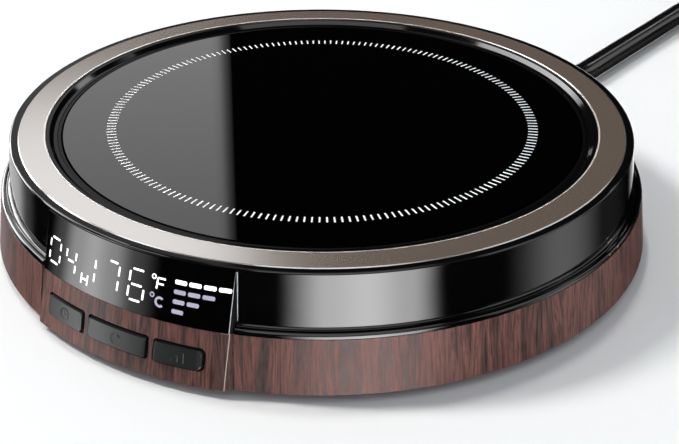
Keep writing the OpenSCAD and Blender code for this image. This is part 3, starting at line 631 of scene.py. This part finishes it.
class WARMER_OT_glass_top(bpy.types.Operator):
    """Black glass with its printed ring of ticks"""
    bl_idname = "warmer.glass_top"
    bl_label = "Glass top"

    def execute(self, context):
        sizes = context.scene.warmer_sizes
        paint_node("glass_plate")
        paint_node("plate_gasket", "gasket_black")
        bm = bmesh.new()
        inner, outer, width = (v / MM for v in (sizes.tick_in, sizes.tick_out, sizes.tick_width))
        for i in range(sizes.tick_count):
            start = len(bm.verts)
            corners = rounded_box(-width / 2, width / 2, inner, outer, width * 0.3, steps=2)
            low = [bm.verts.new((x, y, GLASS_Z - PRINT_SINK)) for x, y in corners]
            top = [bm.verts.new((x, y, GLASS_Z + PRINT_T)) for x, y in corners]
            bm.faces.new(top)
            skin(bm, low, top)
            bm.verts.ensure_lookup_table()
            turned = Matrix.Rotation(math.tau * (i + 0.5) / sizes.tick_count, 3, "Z")
            bmesh.ops.rotate(bm, verts=bm.verts[start:], cent=(0, 0, 0), matrix=turned)
        finish_mesh("plate_ticks", bm, ["print_white"], CASE)
        return {"FINISHED"}


class WARMER_OT_casing(bpy.types.Operator):
    """Shell, trim ring, base, feet and screws"""
    bl_idname = "warmer.casing"
    bl_label = "Casing"

    def execute(self, context):
        for node in ("upper_shell", "base_cover", "rubber_feet", "case_screws"):
            paint_node(node)
        profile = [
            (RING_IN, RING_LOW), (RING_OUT, RING_LOW), (RING_OUT, RING_OUT_TOP - RING_CHAMFER),
            (RING_OUT - RING_CHAMFER, RING_OUT_TOP), (RING_IN + 0.32, RING_TOP),
            (RING_IN + 0.06, RING_TOP - 0.02), (RING_IN, RING_TOP - 0.08)]
        bm = bmesh.new()
        lathe(bm, profile, 360, [0, 0, 2, 0, 1, 1, 0])
        finish_mesh("trim_ring_face", bm, ["champagne", "champagne_polished", "champagne_edge"],
                    CASE, 2.5, ["trim_ring"])
        return {"FINISHED"}


class WARMER_OT_wood(bpy.types.Operator):
    """Wood-look band and key panel"""
    bl_idname = "warmer.wood"
    bl_label = "Wood film"

    def execute(self, context):
        paint_node("wood_band")
        # the rounding's faces take the second finish, a paler colour that paints a highlight along
        # the film's right edge
        bm = rounded_edges("key_panel", FILM_EDGE_W, 2, self.on_right_edge)
        bm.normal_update()
        for face in bm.faces:
            middle = face.calc_center_median()
            if face.material_index == 0 and middle.x > FILM_SIDE_X and face.normal.x > 0.5:
                face.material_index = 2
        finish_mesh("key_panel_film", bm, ["wood_grain", "film_edge_highlight", "wood_side"],
                    CASE, 25.0, ["key_panel"])
        return {"FINISHED"}

    def on_right_edge(self, p):
        """Whether a point lies on the front's right-hand edge."""
        return math.hypot(p.x, p.y) > panel_r(p.z) - 0.05 and p.x > FILM_EDGE_X


SEGMENTS = {"0": "abcdef", "4": "bcfg", "1": "bc", "7": "abc", "6": "acdefg"}
SIGN_SLANT = 0.08
# Each digit's sign, the azimuths of its sides, and how far its top and foot lie under the rim
DIGITS = [
    ("0", -17.4, -14.6, 4.6, 9.1), ("4", -12.9, -10.6, 4.7, 9.3), ("1", -7.6, -6.1, 4.2, 9.1),
    ("7", -3.6, -1.2, 3.7, 9.0), ("6", 0.9, 3.7, 3.6, 9.1),
]
# The hour letter and the unit letter: azimuth, drop under the rim and bars as shares of its size
LETTERS = [
    (-8.9, 9.9, ((0, 0, 0, 1), (1, 0, 1, 1), (0, 0.5, 1, 0.5))),
    (6.1, 5.9, ((0, 0, 0, 1), (0, 1, 1, 1), (0, 0.48, 0.85, 0.48))),
]
LETTER_W, LETTER_H = 1.5, 1.9
DEGREE_R, DEGREE_W = 0.36, 0.22
LEVELS, LEVEL_PITCH, BAR_W, BAR_H, BAR_GAP = 4, 1.72, 2.15, 0.75, 0.42


def across(azimuth):
    """Distance to the right on the window at an azimuth."""
    return 63.5 * math.sin(math.radians(azimuth))


def digit(sign, x, z, w, h, width):
    """Outlines of a seven-segment sign whose lower left corner is at (x, z)."""
    def at(u, v):
        return (x + u * w + SIGN_SLANT * v * h, z + v * h)
    lines = {
        "a": (at(0, 1), at(1, 1)), "b": (at(1, 1), at(1, 0.5)), "c": (at(1, 0.5), at(1, 0)),
        "d": (at(0, 0), at(1, 0)), "e": (at(0, 0.5), at(0, 0)), "f": (at(0, 1), at(0, 0.5)),
        "g": (at(0, 0.5), at(1, 0.5)),
    }
    made = []
    for key in SEGMENTS[sign]:
        a, b = (Vector(p) for p in lines[key])
        gap = (b - a).normalized() * (width * 1.1)
        made.append(stroke(a + gap, b - gap, width, 0.3))
    return made


def letter(x, z, bars, width):
    """Outlines of a letter whose lower left corner is at (x, z)."""
    def at(u, v):
        return (x + u * LETTER_W + SIGN_SLANT * v * LETTER_H, z + v * LETTER_H)
    return [stroke(at(a, b), at(c, d), width, 0.1) for a, b, c, d in bars]


class WARMER_OT_display(bpy.types.Operator):
    """Smoked window with its lit digits, unit marks and level bars"""
    bl_idname = "warmer.display"
    bl_label = "Display"

    def execute(self, context):
        paint_node("display_module")
        self.glass()
        self.opening_edge_highlight()
        white, lilac = self.marks(context.scene.warmer_sizes.stroke_width / MM)
        for name, outlines, glow in (("display_lit", white, "lit_white"),
                                     ("display_dim", lilac, "lit_lilac")):
            bm = bmesh.new()
            for outline in outlines:
                plate(bm, outline, -LIT_SINK, LIT_PROUD)
            wrap_on_panel(bm)
            finish_mesh(name, bm, [glow], CASE)
        return {"FINISHED"}

    def glass(self):
        """The window, with a matt side face and, on its right, a rounded front edge painted near
        white as a highlight.
        """
        levels = [(BAND_TOP_Z, WINDOW_BACK_LOW), (WALL_LOW_Z, WINDOW_BACK_LOW)]
        for i in range(1, 9):
            t = i / 8
            levels.append((WALL_LOW_Z + (WINDOW_TOP_Z - WALL_LOW_Z) * t,
                           WINDOW_BACK_LOW + (WINDOW_BACK_TOP - WINDOW_BACK_LOW) * t))
        rings = [panel_section(z, back) for z, back in levels]
        bm = bmesh.new()
        # faces 8 to 11 lie on the right front edge's rounding and take the near-white painted
        # highlight
        loft(bm, rings, finishes=[2] * 8 + [1] * 4 + [0] * (len(rings[0]) - 12))
        finish_mesh("display_glass", bm, ["smoked_window", "edge_highlight_white", "window_side"],
                    CASE, 25.0, ["display_window"])

    def opening_edge_highlight(self):
        """Rounded edge on the right of the opening that the window sits in, painted near white as
        a highlight.
        """
        turn = math.radians(PANEL_HALF)
        rings = []
        for i in range(13):
            z = WALL_LOW_Z + GAP + (RIM_Z - OPENING_DROP - WALL_LOW_Z) * i / 12
            r = RIM_R + WALL_LEAN * (RIM_Z - z) / (RIM_Z - WALL_LOW_Z)
            r += OPENING_PROUD - OPENING_EDGE_R
            middle = Vector((r * math.sin(turn), -r * math.cos(turn), z))
            middle += Vector((math.cos(turn), math.sin(turn), 0)) * OPENING_EDGE_R
            rings.append([middle + OPENING_EDGE_R * front(a).to_3d() for a in turns(16)])
        bm = bmesh.new()
        loft(bm, rings)
        finish_mesh("opening_edge_highlight", bm, ["edge_highlight_white"], CASE, 60.0)

    def marks(self, width):
        """Outlines of what shines white and of what shines dimly."""
        white, lilac = [], []
        for sign, left, right, top, low in DIGITS:
            x = across(left)
            white += digit(sign, x, RIM_Z - low, across(right) - x, low - top, width)
        for azimuth, low, bars in LETTERS:
            white += letter(across(azimuth), RIM_Z - low, bars, width * 0.85)
        white.append(arc_band(across(5.55), RIM_Z - 3.9, DEGREE_R, DEGREE_W, 0, 359.9))
        lilac.append(arc_band(across(5.45), RIM_Z - 7.1, DEGREE_R, DEGREE_W, 0, 359.9))
        lilac.append(arc_band(across(6.85), RIM_Z - 8.1, 0.75, 0.42, 45, 270))
        for row in range(LEVELS):
            for column in range(LEVELS - row):
                x = across(9.2) + column * (BAR_W + BAR_GAP) - row * 0.06
                top = RIM_Z - 3.55 - row * LEVEL_PITCH
                outline = rounded_box(x, x + BAR_W, top - BAR_H, top, 0.25, steps=3)
                (white if row == 0 else lilac).append(outline)
        return white, lilac


def clock_mark(x, z):
    """A dial with two hands."""
    return [arc_band(x, z, 1.05, KEY_MARK_W, 0, 359.9),
            stroke((x, z - 0.1), (x, z + 0.75), KEY_MARK_W, 0.2),
            stroke((x - 0.1, z), (x + 0.6, z), KEY_MARK_W, 0.2)]


def power_mark(x, z):
    """An open ring with a bar."""
    return [arc_band(x, z - 0.1, 1.0, KEY_MARK_W, 120, 300),
            stroke((x, z), (x, z + 1.2), KEY_MARK_W, 0.2)]


def level_mark(x, z):
    """Three rising bars."""
    return [rounded_box(x - 1.5 + i * 1.1, x - 0.9 + i * 1.1, z - 0.95, z - 0.35 + i * 0.6,
                        0.12, steps=2) for i in range(3)]


class WARMER_OT_keys(bpy.types.Operator):
    """Three keys with rounded edges and raised marks"""
    bl_idname = "warmer.keys"
    bl_label = "Keys"

    def execute(self, context):
        rounding = context.scene.warmer_sizes.key_rounding / MM
        for side, mark in (("left", clock_mark), ("middle", power_mark), ("right", level_mark)):
            key = body = side + "_key"
            low, high = (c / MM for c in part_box(key))
            x0, x1 = low.x + KEY_FLANGE_W + KEY_CLEAR, high.x - KEY_FLANGE_W - KEY_CLEAR
            z0, z1 = KEY_Z - KEY_H / 2 + KEY_CLEAR, KEY_Z + KEY_H / 2 - KEY_CLEAR
            end = KEY_END_ROUND if side == "right" else KEY_ROUND
            seat = band_r(KEY_Z) - WALL - KEY_SEAT - panel_r(KEY_Z)
            middle = (x0 + x1) / 2
            cap = rounded_box(x0, x1, z0, z1, KEY_ROUND, end)
            flange = rounded_box(low.x, high.x, z0 - KEY_FLANGE_H, z1 + KEY_FLANGE_H,
                                 KEY_ROUND + KEY_FLANGE_H, end + KEY_FLANGE_H)
            bm = bmesh.new()
            plate(bm, cap, seat - KEY_FLANGE_T / 2, KEY_PROUD, rounding, 4)
            plate(bm, flange, seat - KEY_FLANGE_T, seat)
            slice_across(bm, x0 + KEY_SLICE, x1 - KEY_SLICE, KEY_SLICE)
            for outline in mark(middle, KEY_Z):
                plate(bm, outline, KEY_PROUD - KEY_MARK_SINK, KEY_PROUD + KEY_MARK_PROUD,
                      KEY_MARK_EDGE)
            wrap_on_panel(bm)
            self.plunger(bm, middle, high.y, seat)
            finish_mesh(side + "_key_cap", bm, ["key_plastic"], body, 40.0, [key])
            paint_node(side + "_stem")
        return {"FINISHED"}

    def plunger(self, bm, x, back_y, seat):
        """Round plunger behind the key that meets the switch's stem."""
        front_y = -math.sqrt((panel_r(KEY_Z) + seat - KEY_FLANGE_T / 2) ** 2 - x * x)
        loft(bm, [[Vector((x + PLUNGER_R * math.cos(a), y, KEY_Z + PLUNGER_R * math.sin(a)))
                   for a in turns(32)] for y in (front_y, back_y)])


class WARMER_OT_inside(bpy.types.Operator):
    """Finishes of what the case holds"""
    bl_idname = "warmer.inside"
    bl_label = "Inside"

    def execute(self, context):
        for node in ("heat_spreader", "heating_element", "insulation_pad", "clamp_plate",
                     "clamp_screws", "temperature_sensor", "thermal_fuse", "fuse_clip",
                     "display_board", "tact_switches", "main_board", "board_screws", "power_relay",
                     "filter_capacitor", "bulk_capacitor", "terminal_block", "controller_chip",
                     "cord_tail", "cord_clamp", "cord_clamp_screws", "mains_wires",
                     "heater_leads", "ribbon_cable"):
            paint_node(node)
        return {"FINISHED"}


# ---- cord ----

# Points of the cord from the strain relief to the coil, and from the coil to the plug
LEAD = [
    (17.15, 84.5, 5.2), (17.75, 89, 3.85), (18.25, 93, 3.1), (18.75, 97.5, 2.85),
    (19.95, 109, 2.85), (21, 119, 2.85), (22.2, 130, 2.85), (23.4, 142, 2.85),
    (24.7, 153, 2.85), (27.4, 163, 2.85), (33, 172, 2.85), (41, 179.4, 2.85), (50.5, 184.7, 2.85),
    (60, 187.6, 2.85), (69.6, 188.5, 2.85),
]
TAIL_END = [
    (110.2, 152, 7.8), (111, 148.5, 8.1), (113, 143.5, 8.6), (115.2, 139, 8.3),
    (116.6, 135, 7.8), (117, 131.5, 7.4), (117, 128, 7.4),
]


def smooth_line(points, pitch):
    """Points about pitch apart on one smooth curve through the given ones."""
    points = [Vector(p) for p in points]
    ends = [2 * points[0] - points[1]] + points + [2 * points[-1] - points[-2]]
    made = []
    for i in range(1, len(ends) - 2):
        a, b, c, d = ends[i - 1:i + 3]
        steps = max(1, round((c - b).length / pitch))
        for s in range(steps):
            t = s / steps
            made.append(0.5 * (2 * b + (c - a) * t + (2 * a - 5 * b + 4 * c - d) * t * t
                               + (3 * b - a - 3 * c + d) * t ** 3))
    return made + [points[-1]]


def ease(t):
    """A soft step from 0 to 1."""
    t = min(1.0, max(0.0, t))
    return t * t * (3 - 2 * t)


def hump(t):
    """A soft rise and fall between 0 and 1."""
    return math.sin(math.pi * min(1.0, max(0.0, t))) ** 2


def coil_line():
    """A little over four turns, clockwise from above: nearly three below, the rest on top."""
    made = []
    for turn in range(12, 1530, 6):
        r, z = TURN_R + CORD_D, CORD_R
        # on the surface, each turn lies one cord further in
        r -= CORD_D * (ease((turn - 320) / 40) + ease((turn - 680) / 40))
        # then the cord climbs and settles between two of the turns below
        z += ease((turn - 980) / 60) * (STACK_RISE + 0.6) - 0.6 * ease((turn - 1080) / 30)
        r += CORD_D / 2 * ease((turn - 1040) / 40)
        # on top it moves one cord out, and rises where it crosses another turn
        r += CORD_D * ease((turn - 1250) / 70)
        z += 0.76 * (hump((turn - 1250) / 70) + hump((turn - 1385) / 70))
        made.append(COIL_AT + polar(r, math.radians(90 - turn), z))
    return made


class WARMER_OT_cord(bpy.types.Operator):
    """Mains cord with its coil, tie and strain relief"""
    bl_idname = "warmer.cord"
    bl_label = "Cord"

    def execute(self, context):
        out = front(math.radians(OUTLET_AZ)).to_3d()
        start = out * RELIEF_TIP + Vector((0, 0, OUTLET_Z))
        points = smooth_line([start, start + 3 * out] + LEAD + coil_line() + TAIL_END, 2.0)
        curve = bpy.data.curves.new("mains_cord", "CURVE")
        curve.dimensions = "3D"
        curve.bevel_depth = CORD_R * MM
        curve.bevel_resolution = 7
        curve.use_fill_caps = True
        line = curve.splines.new("POLY")
        line.points.add(len(points) - 1)
        for point, p in zip(line.points, points):
            point.co = (*(p * MM), 1.0)
        line.use_smooth = True
        curve.materials.append(finish("cord_black"))
        cord = bpy.data.objects.new("mains_cord", curve)
        context.scene.collection.objects.link(cord)
        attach(cord, CASE)
        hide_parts("cord_tube", "cord_coil", "cord_end")
        tie = self.tie()
        paint_node("strain_relief")
        return {"FINISHED"}

    def tie(self):
        """Strap round the bundle of turns."""
        outer, inner = self.round_bundle(TIE_OUT), self.round_bundle(TIE_IN)
        sections = [(inner, -TIE_HALF)]
        sections += [(outer, -TIE_HALF + 2 * TIE_HALF * i / 6) for i in range(7)]
        sections.append((inner, TIE_HALF))
        rings = []
        for outline, s in sections:
            turn = math.radians(TIE_AT) + s / TURN_R
            rings.append([COIL_AT + polar(TURN_R + u, turn, z) for u, z in outline])
        bm = bmesh.new()
        loft(bm, rings, closed_ends=False)
        return finish_mesh("cord_tie", bm, ["black_rubber"], CASE, 40.0)

    def round_bundle(self, grow):
        """Outline round the five cords of the bundle, at a distance of grow."""
        made = []
        upper = CORD_R + STACK_RISE
        for cx, cz, a0, a1 in ((CORD_D, CORD_R, -90, 30), (CORD_R, upper, 30, 90),
                               (-CORD_R, upper, 90, 150), (-CORD_D, CORD_R, 150, 270)):
            for i in range(5):
                a = math.radians(a0 + (a1 - a0) * i / 4)
                made.append((cx + (CORD_R + grow) * math.cos(a),
                             max(0.02, cz + (CORD_R + grow) * math.sin(a))))
        return made


def rounded_ring(y, a, b, power, count=48):
    """A ring across the plug: half width a, half height b, from round to nearly square."""
    made = []
    for turn in turns(count):
        c, s = math.cos(turn), math.sin(turn)
        made.append(PLUG_AT + Vector((a * math.copysign(abs(c) ** (2 / power), c), -y,
                                      b * math.copysign(abs(s) ** (2 / power), s))))
    return made


class WARMER_OT_plug(bpy.types.Operator):
    """Moulded two-pin plug with its ribbed relief"""
    bl_idname = "warmer.plug"
    bl_label = "Plug"

    def execute(self, context):
        # each ring's distance from the cord, half width, half height and squareness
        rings = [(0, 3.1, 3.1, 2), (0.3, 3.35, 3.35, 2)]
        for i in range(6):
            y, r = 2 + i * 2.5, 3.5 + i * 0.16
            rings += [(y, r, r, 2), (y + 0.15, r - 0.5, r - 0.5, 2),
                      (y + 0.95, r - 0.5, r - 0.5, 2), (y + 1.1, r + 0.08, r + 0.08, 2)]
        rings += [(17.2, 4.5, 4.5, 2), (18.0, 5.2, 4.9, 2.4), (18.7, 6.9, 5.5, 3),
                  (20.0, 7.9, 5.9, 3.6), (24.0, 9.3, 6.5, 4.2)]
        for i in range(4):
            y, a, b = 25.2 + i * 2.0, 9.75 + i * 0.6, 6.65 + i * 0.19
            rings += [(y, a, b, 4.5), (y + 0.4, a - 0.45, b - 0.3, 4.5),
                      (y + 1.0, a - 0.35, b - 0.3, 4.5), (y + 1.4, a + 0.35, b + 0.05, 4.5)]
        rings += [(34.0, 12.0, 7.4, 5), (42.6, 12.0, 7.4, 5), (43.5, 11.8, 7.25, 5),
                  (44.0, 11.2, 6.8, 5)]
        bm = bmesh.new()
        loft(bm, [rounded_ring(*ring) for ring in rings])
        finish_mesh("plug_grip", bm, ["cord_black"], CASE, 35.0, ["plug_body"])
        paint_node("plug_blades")
        return {"FINISHED"}


# ---- stage ----

CAMERA_AT = Vector((136.23, -216.33, 139.35))
CAMERA_LOOK = Vector((-0.4563, 0.7476, -0.4826))
CAMERA_ROLL = 0.424
CAMERA_LENS = 73.5
WHITE = (1.0, 1.0, 1.0, 1.0)
FLOOR_WHITE, FLOOR_R = (0.93, 0.935, 0.94), 7000.0
LAMP_TINT, AMBIENT_TINT, AMBIENT = (1.0, 0.985, 0.96), (0.93, 0.98, 1.04, 1.0), 0.44
# Each lamp's place, width and power, and its height where that differs
LAMPS = [
    ("key_light", (-0.722, -0.240, 0.930), 0.12, 8.8, 0.3),
    ("fill_light", (-0.263, 0.219, 1.150), 0.12, 3.0),
]
# Soft boxes stand far away; each has its lower and upper elevation and stops along its arc
BOX_REACH, CEILING_R, CEILING_GLOW = 8000.0, 2900.0, 1.5
SOFT_BOXES = [
    ("low_soft_boxes", -60, -2, [
        (-180, 0.0), (-159, 0.0), (-149, 1.1), (-140, 4.7), (-132, 6.4), (-124, 4.3), (-116, 0.7),
        (-109, 0.0), (-92, 0.0), (-84, 0.18), (-72, 1.0), (-50, 0.65), (-30, 1.7), (-18, 2.5),
        (-8, 0.8), (3, 0.0), (30, 0.05), (60, 1.35), (84, 0.0), (106, 0.0), (118, 8.5),
        (133, 12.6), (146, 10.5), (163, 0.0), (180, 0.0)]),
    ("left_soft_box", -2, 16, [(-100, 0.0), (-90, 11.0), (-66, 11.0), (-58, 0.0)]),
    ("high_soft_boxes", 21, 55, [
        (-118, 0.0), (-102, 8.5), (-72, 8.5), (-58, 1.28), (-37.2, 1.28), (-36.35, 0.0)]),
    ("front_soft_box", -2, 10, [(110, 0.0), (122, 13.0), (148, 13.0), (160, 0.0)]),
    ("front_upper_box", 10, 30, [(110, 0.0), (122, 0.8), (148, 0.8), (160, 0.0)]),
    ("front_left_box", 22, 47, [(-177, 0.0), (-168, 2.5), (-128, 2.5), (-120, 0.0)]),
    ("front_high_box", 48, 66, [(60, 0.0), (90, 0.2), (130, 1.7), (180, 1.7)]),
    ("cord_strip", 28, 34, [(3, 0.0), (6, 3.0), (12, 3.0), (15, 0.0)]),
    ("right_soft_box", 5, 47, [(20, 0.0), (30, 1.2), (88, 1.2), (96, 0.0)]),
]


def seen_in_gloss(name, bm, shade):
    """A sheet that glows in reflections alone; shade fills its tree, returns tint and strength."""
    material = bpy.data.materials.new(name)
    material.use_nodes = True
    tree = material.node_tree
    tree.nodes.clear()
    tint, strength = shade(tree)
    glow = add(tree, "ShaderNodeEmission", {"Color": tint, "Strength": strength})
    output = add(tree, "ShaderNodeOutputMaterial")
    tree.links.new(glow.outputs[0], output.inputs["Surface"])
    sheet = finish_mesh(name, bm, [material], None)
    for key in ("visible_camera", "visible_diffuse", "visible_shadow", "visible_transmission"):
        setattr(sheet, key, False)


def light_wall(name, low, high, stops):
    """Soft boxes along an arc between two elevations; stops are (azimuth, brightness)."""
    bm = bmesh.new()
    first, last = math.radians(stops[0][0]), math.radians(stops[-1][0])
    span = stops[-1][0] - stops[0][0]
    steps = max(4, round(span / 2))
    rings = []
    for i in range(steps + 1):
        turn = first + (last - first) * i / steps
        x, y = BOX_REACH * math.sin(turn), BOX_REACH * math.cos(turn)
        rings.append([bm.verts.new((x, y, BOX_REACH * math.tan(math.radians(e))))
                      for e in (low, high)])
    for a, b in zip(rings, rings[1:]):
        bm.faces.new((a[0], b[0], b[1], a[1]))
    peak = max(b for a, b in stops)

    def shade(tree):
        axes = {i: component(tree, source(tree), axis) for i, axis in enumerate("XY")}
        turn = add(tree, "ShaderNodeMath", axes, operation="ARCTAN2").outputs[0]
        part = spread(tree, turn, 0.0, 1.0, first, last)
        tones = [((a - stops[0][0]) / span, (b / peak,) * 3) for a, b in stops]
        return ramp(tree, part, tones, "EASE"), peak

    seen_in_gloss(name, bm, shade)


class WARMER_OT_stage(bpy.types.Operator):
    """White floor, soft studio light and the camera"""
    bl_idname = "warmer.stage"
    bl_label = "Stage"

    def execute(self, context):
        scene = context.scene
        self.camera(scene)
        self.floor()
        for lamp in LAMPS:
            self.lamp(*lamp)
        for box in SOFT_BOXES:
            light_wall(*box)
        ceiling = bmesh.new()
        bmesh.ops.create_circle(ceiling, cap_ends=True, radius=CEILING_R, segments=64,
                                matrix=Matrix.Translation((0, 0, BOX_REACH)))
        seen_in_gloss("ceiling_box", ceiling, lambda tree: (WHITE, CEILING_GLOW))
        self.world(scene)
        scene.view_settings.view_transform = "Standard"
        return {"FINISHED"}

    def camera(self, scene):
        """The camera, by its place, its line of sight and its roll."""
        lens = bpy.data.cameras.new("camera")
        lens.lens, lens.sensor_width, lens.sensor_fit = CAMERA_LENS, 36.0, "HORIZONTAL"
        lens.clip_start, lens.clip_end = 0.01, 20.0
        eye = bpy.data.objects.new("camera", lens)
        look = CAMERA_LOOK.normalized()
        right = look.cross(Vector((0, 0, 1))).normalized()
        up = right.cross(look)
        roll = math.radians(CAMERA_ROLL)
        turned = math.cos(roll) * right + math.sin(roll) * up
        raised = math.cos(roll) * up - math.sin(roll) * right
        eye.matrix_world = Matrix.Translation(CAMERA_AT * MM) @ Matrix(
            (turned, raised, -look)).transposed().to_4x4()
        scene.collection.objects.link(eye)
        scene.camera = eye

    def floor(self):
        """Plain pale floor that isn't seen in reflections."""
        bm = bmesh.new()
        bmesh.ops.create_circle(bm, cap_ends=True, radius=FLOOR_R, segments=64)
        material, tree, shader = principled("floor_white", FLOOR_WHITE, 0.9,
                                            Specular_IOR_Level=0.0)
        floor = finish_mesh("floor", bm, [material], None)
        floor.visible_glossy = False

    def lamp(self, name, place_at, size, power, tall=None):
        """An area lamp that points at the warmer."""
        light = bpy.data.lights.new(name, "AREA")
        light.shape = "RECTANGLE" if tall else "DISK"
        light.size, light.size_y, light.energy = size, tall or size, power
        light.color = LAMP_TINT
        lamp = bpy.data.objects.new(name, light)
        lamp.location = place_at
        aim = Vector((0, 0, 0.01)) - Vector(place_at)
        lamp.rotation_euler = aim.to_track_quat("-Z", "Y").to_euler()
        lamp.visible_glossy = False
        bpy.context.scene.collection.objects.link(lamp)

    def world(self, scene):
        """White to the eye, nearly black in reflections, an even soft light for all else."""
        world = bpy.data.worlds.new("studio")
        scene.world = world
        world.use_nodes = True
        tree = world.node_tree
        tree.nodes.clear()
        path = add(tree, "ShaderNodeLightPath")
        ambient, white, dark = (
            add(tree, "ShaderNodeBackground", {"Color": tint, "Strength": strength}).outputs[0]
            for tint, strength in ((AMBIENT_TINT, AMBIENT), (WHITE, 1.0), (WHITE, 0.003)))
        glossy = add(tree, "ShaderNodeMixShader", {
            0: path.outputs["Is Glossy Ray"], 1: ambient, 2: dark})
        seen = add(tree, "ShaderNodeMixShader", {
            0: path.outputs["Is Camera Ray"], 1: glossy.outputs[0], 2: white})
        output = add(tree, "ShaderNodeOutputWorld")
        tree.links.new(seen.outputs[0], output.inputs["Surface"])


class WARMER_PT_panel(bpy.types.Panel):
    """Lists the warmer's pieces and settings"""
    bl_idname = "WARMER_PT_panel"
    bl_label = "Mug warmer"
    bl_space_type = "VIEW_3D"
    bl_region_type = "UI"
    bl_category = "Mug warmer"

    def draw(self, context):
        for operator in OPERATORS:
            self.layout.operator(operator.bl_idname)
        for group in (context.scene.warmer_colours, context.scene.warmer_sizes):
            for name in group.__annotations__:
                self.layout.prop(group, name)


OPERATORS = [
    WARMER_OT_stage, WARMER_OT_plug, WARMER_OT_cord, WARMER_OT_glass_top, WARMER_OT_casing,
    WARMER_OT_wood, WARMER_OT_display, WARMER_OT_keys, WARMER_OT_inside,
]
CLASSES = [WarmerColours, WarmerSizes, *OPERATORS, WARMER_PT_panel]


def register():
    for item in CLASSES:
        bpy.utils.register_class(item)
    bpy.types.Scene.warmer_colours = bpy.props.PointerProperty(type=WarmerColours)
    bpy.types.Scene.warmer_sizes = bpy.props.PointerProperty(type=WarmerSizes)


def unregister():
    del bpy.types.Scene.warmer_sizes
    del bpy.types.Scene.warmer_colours
    for item in reversed(CLASSES):
        bpy.utils.unregister_class(item)


def main():
    register()
    for operator in OPERATORS:
        group, name = operator.bl_idname.split(".")
        getattr(getattr(bpy.ops, group), name)()


if __name__ == "__main__":
    main()
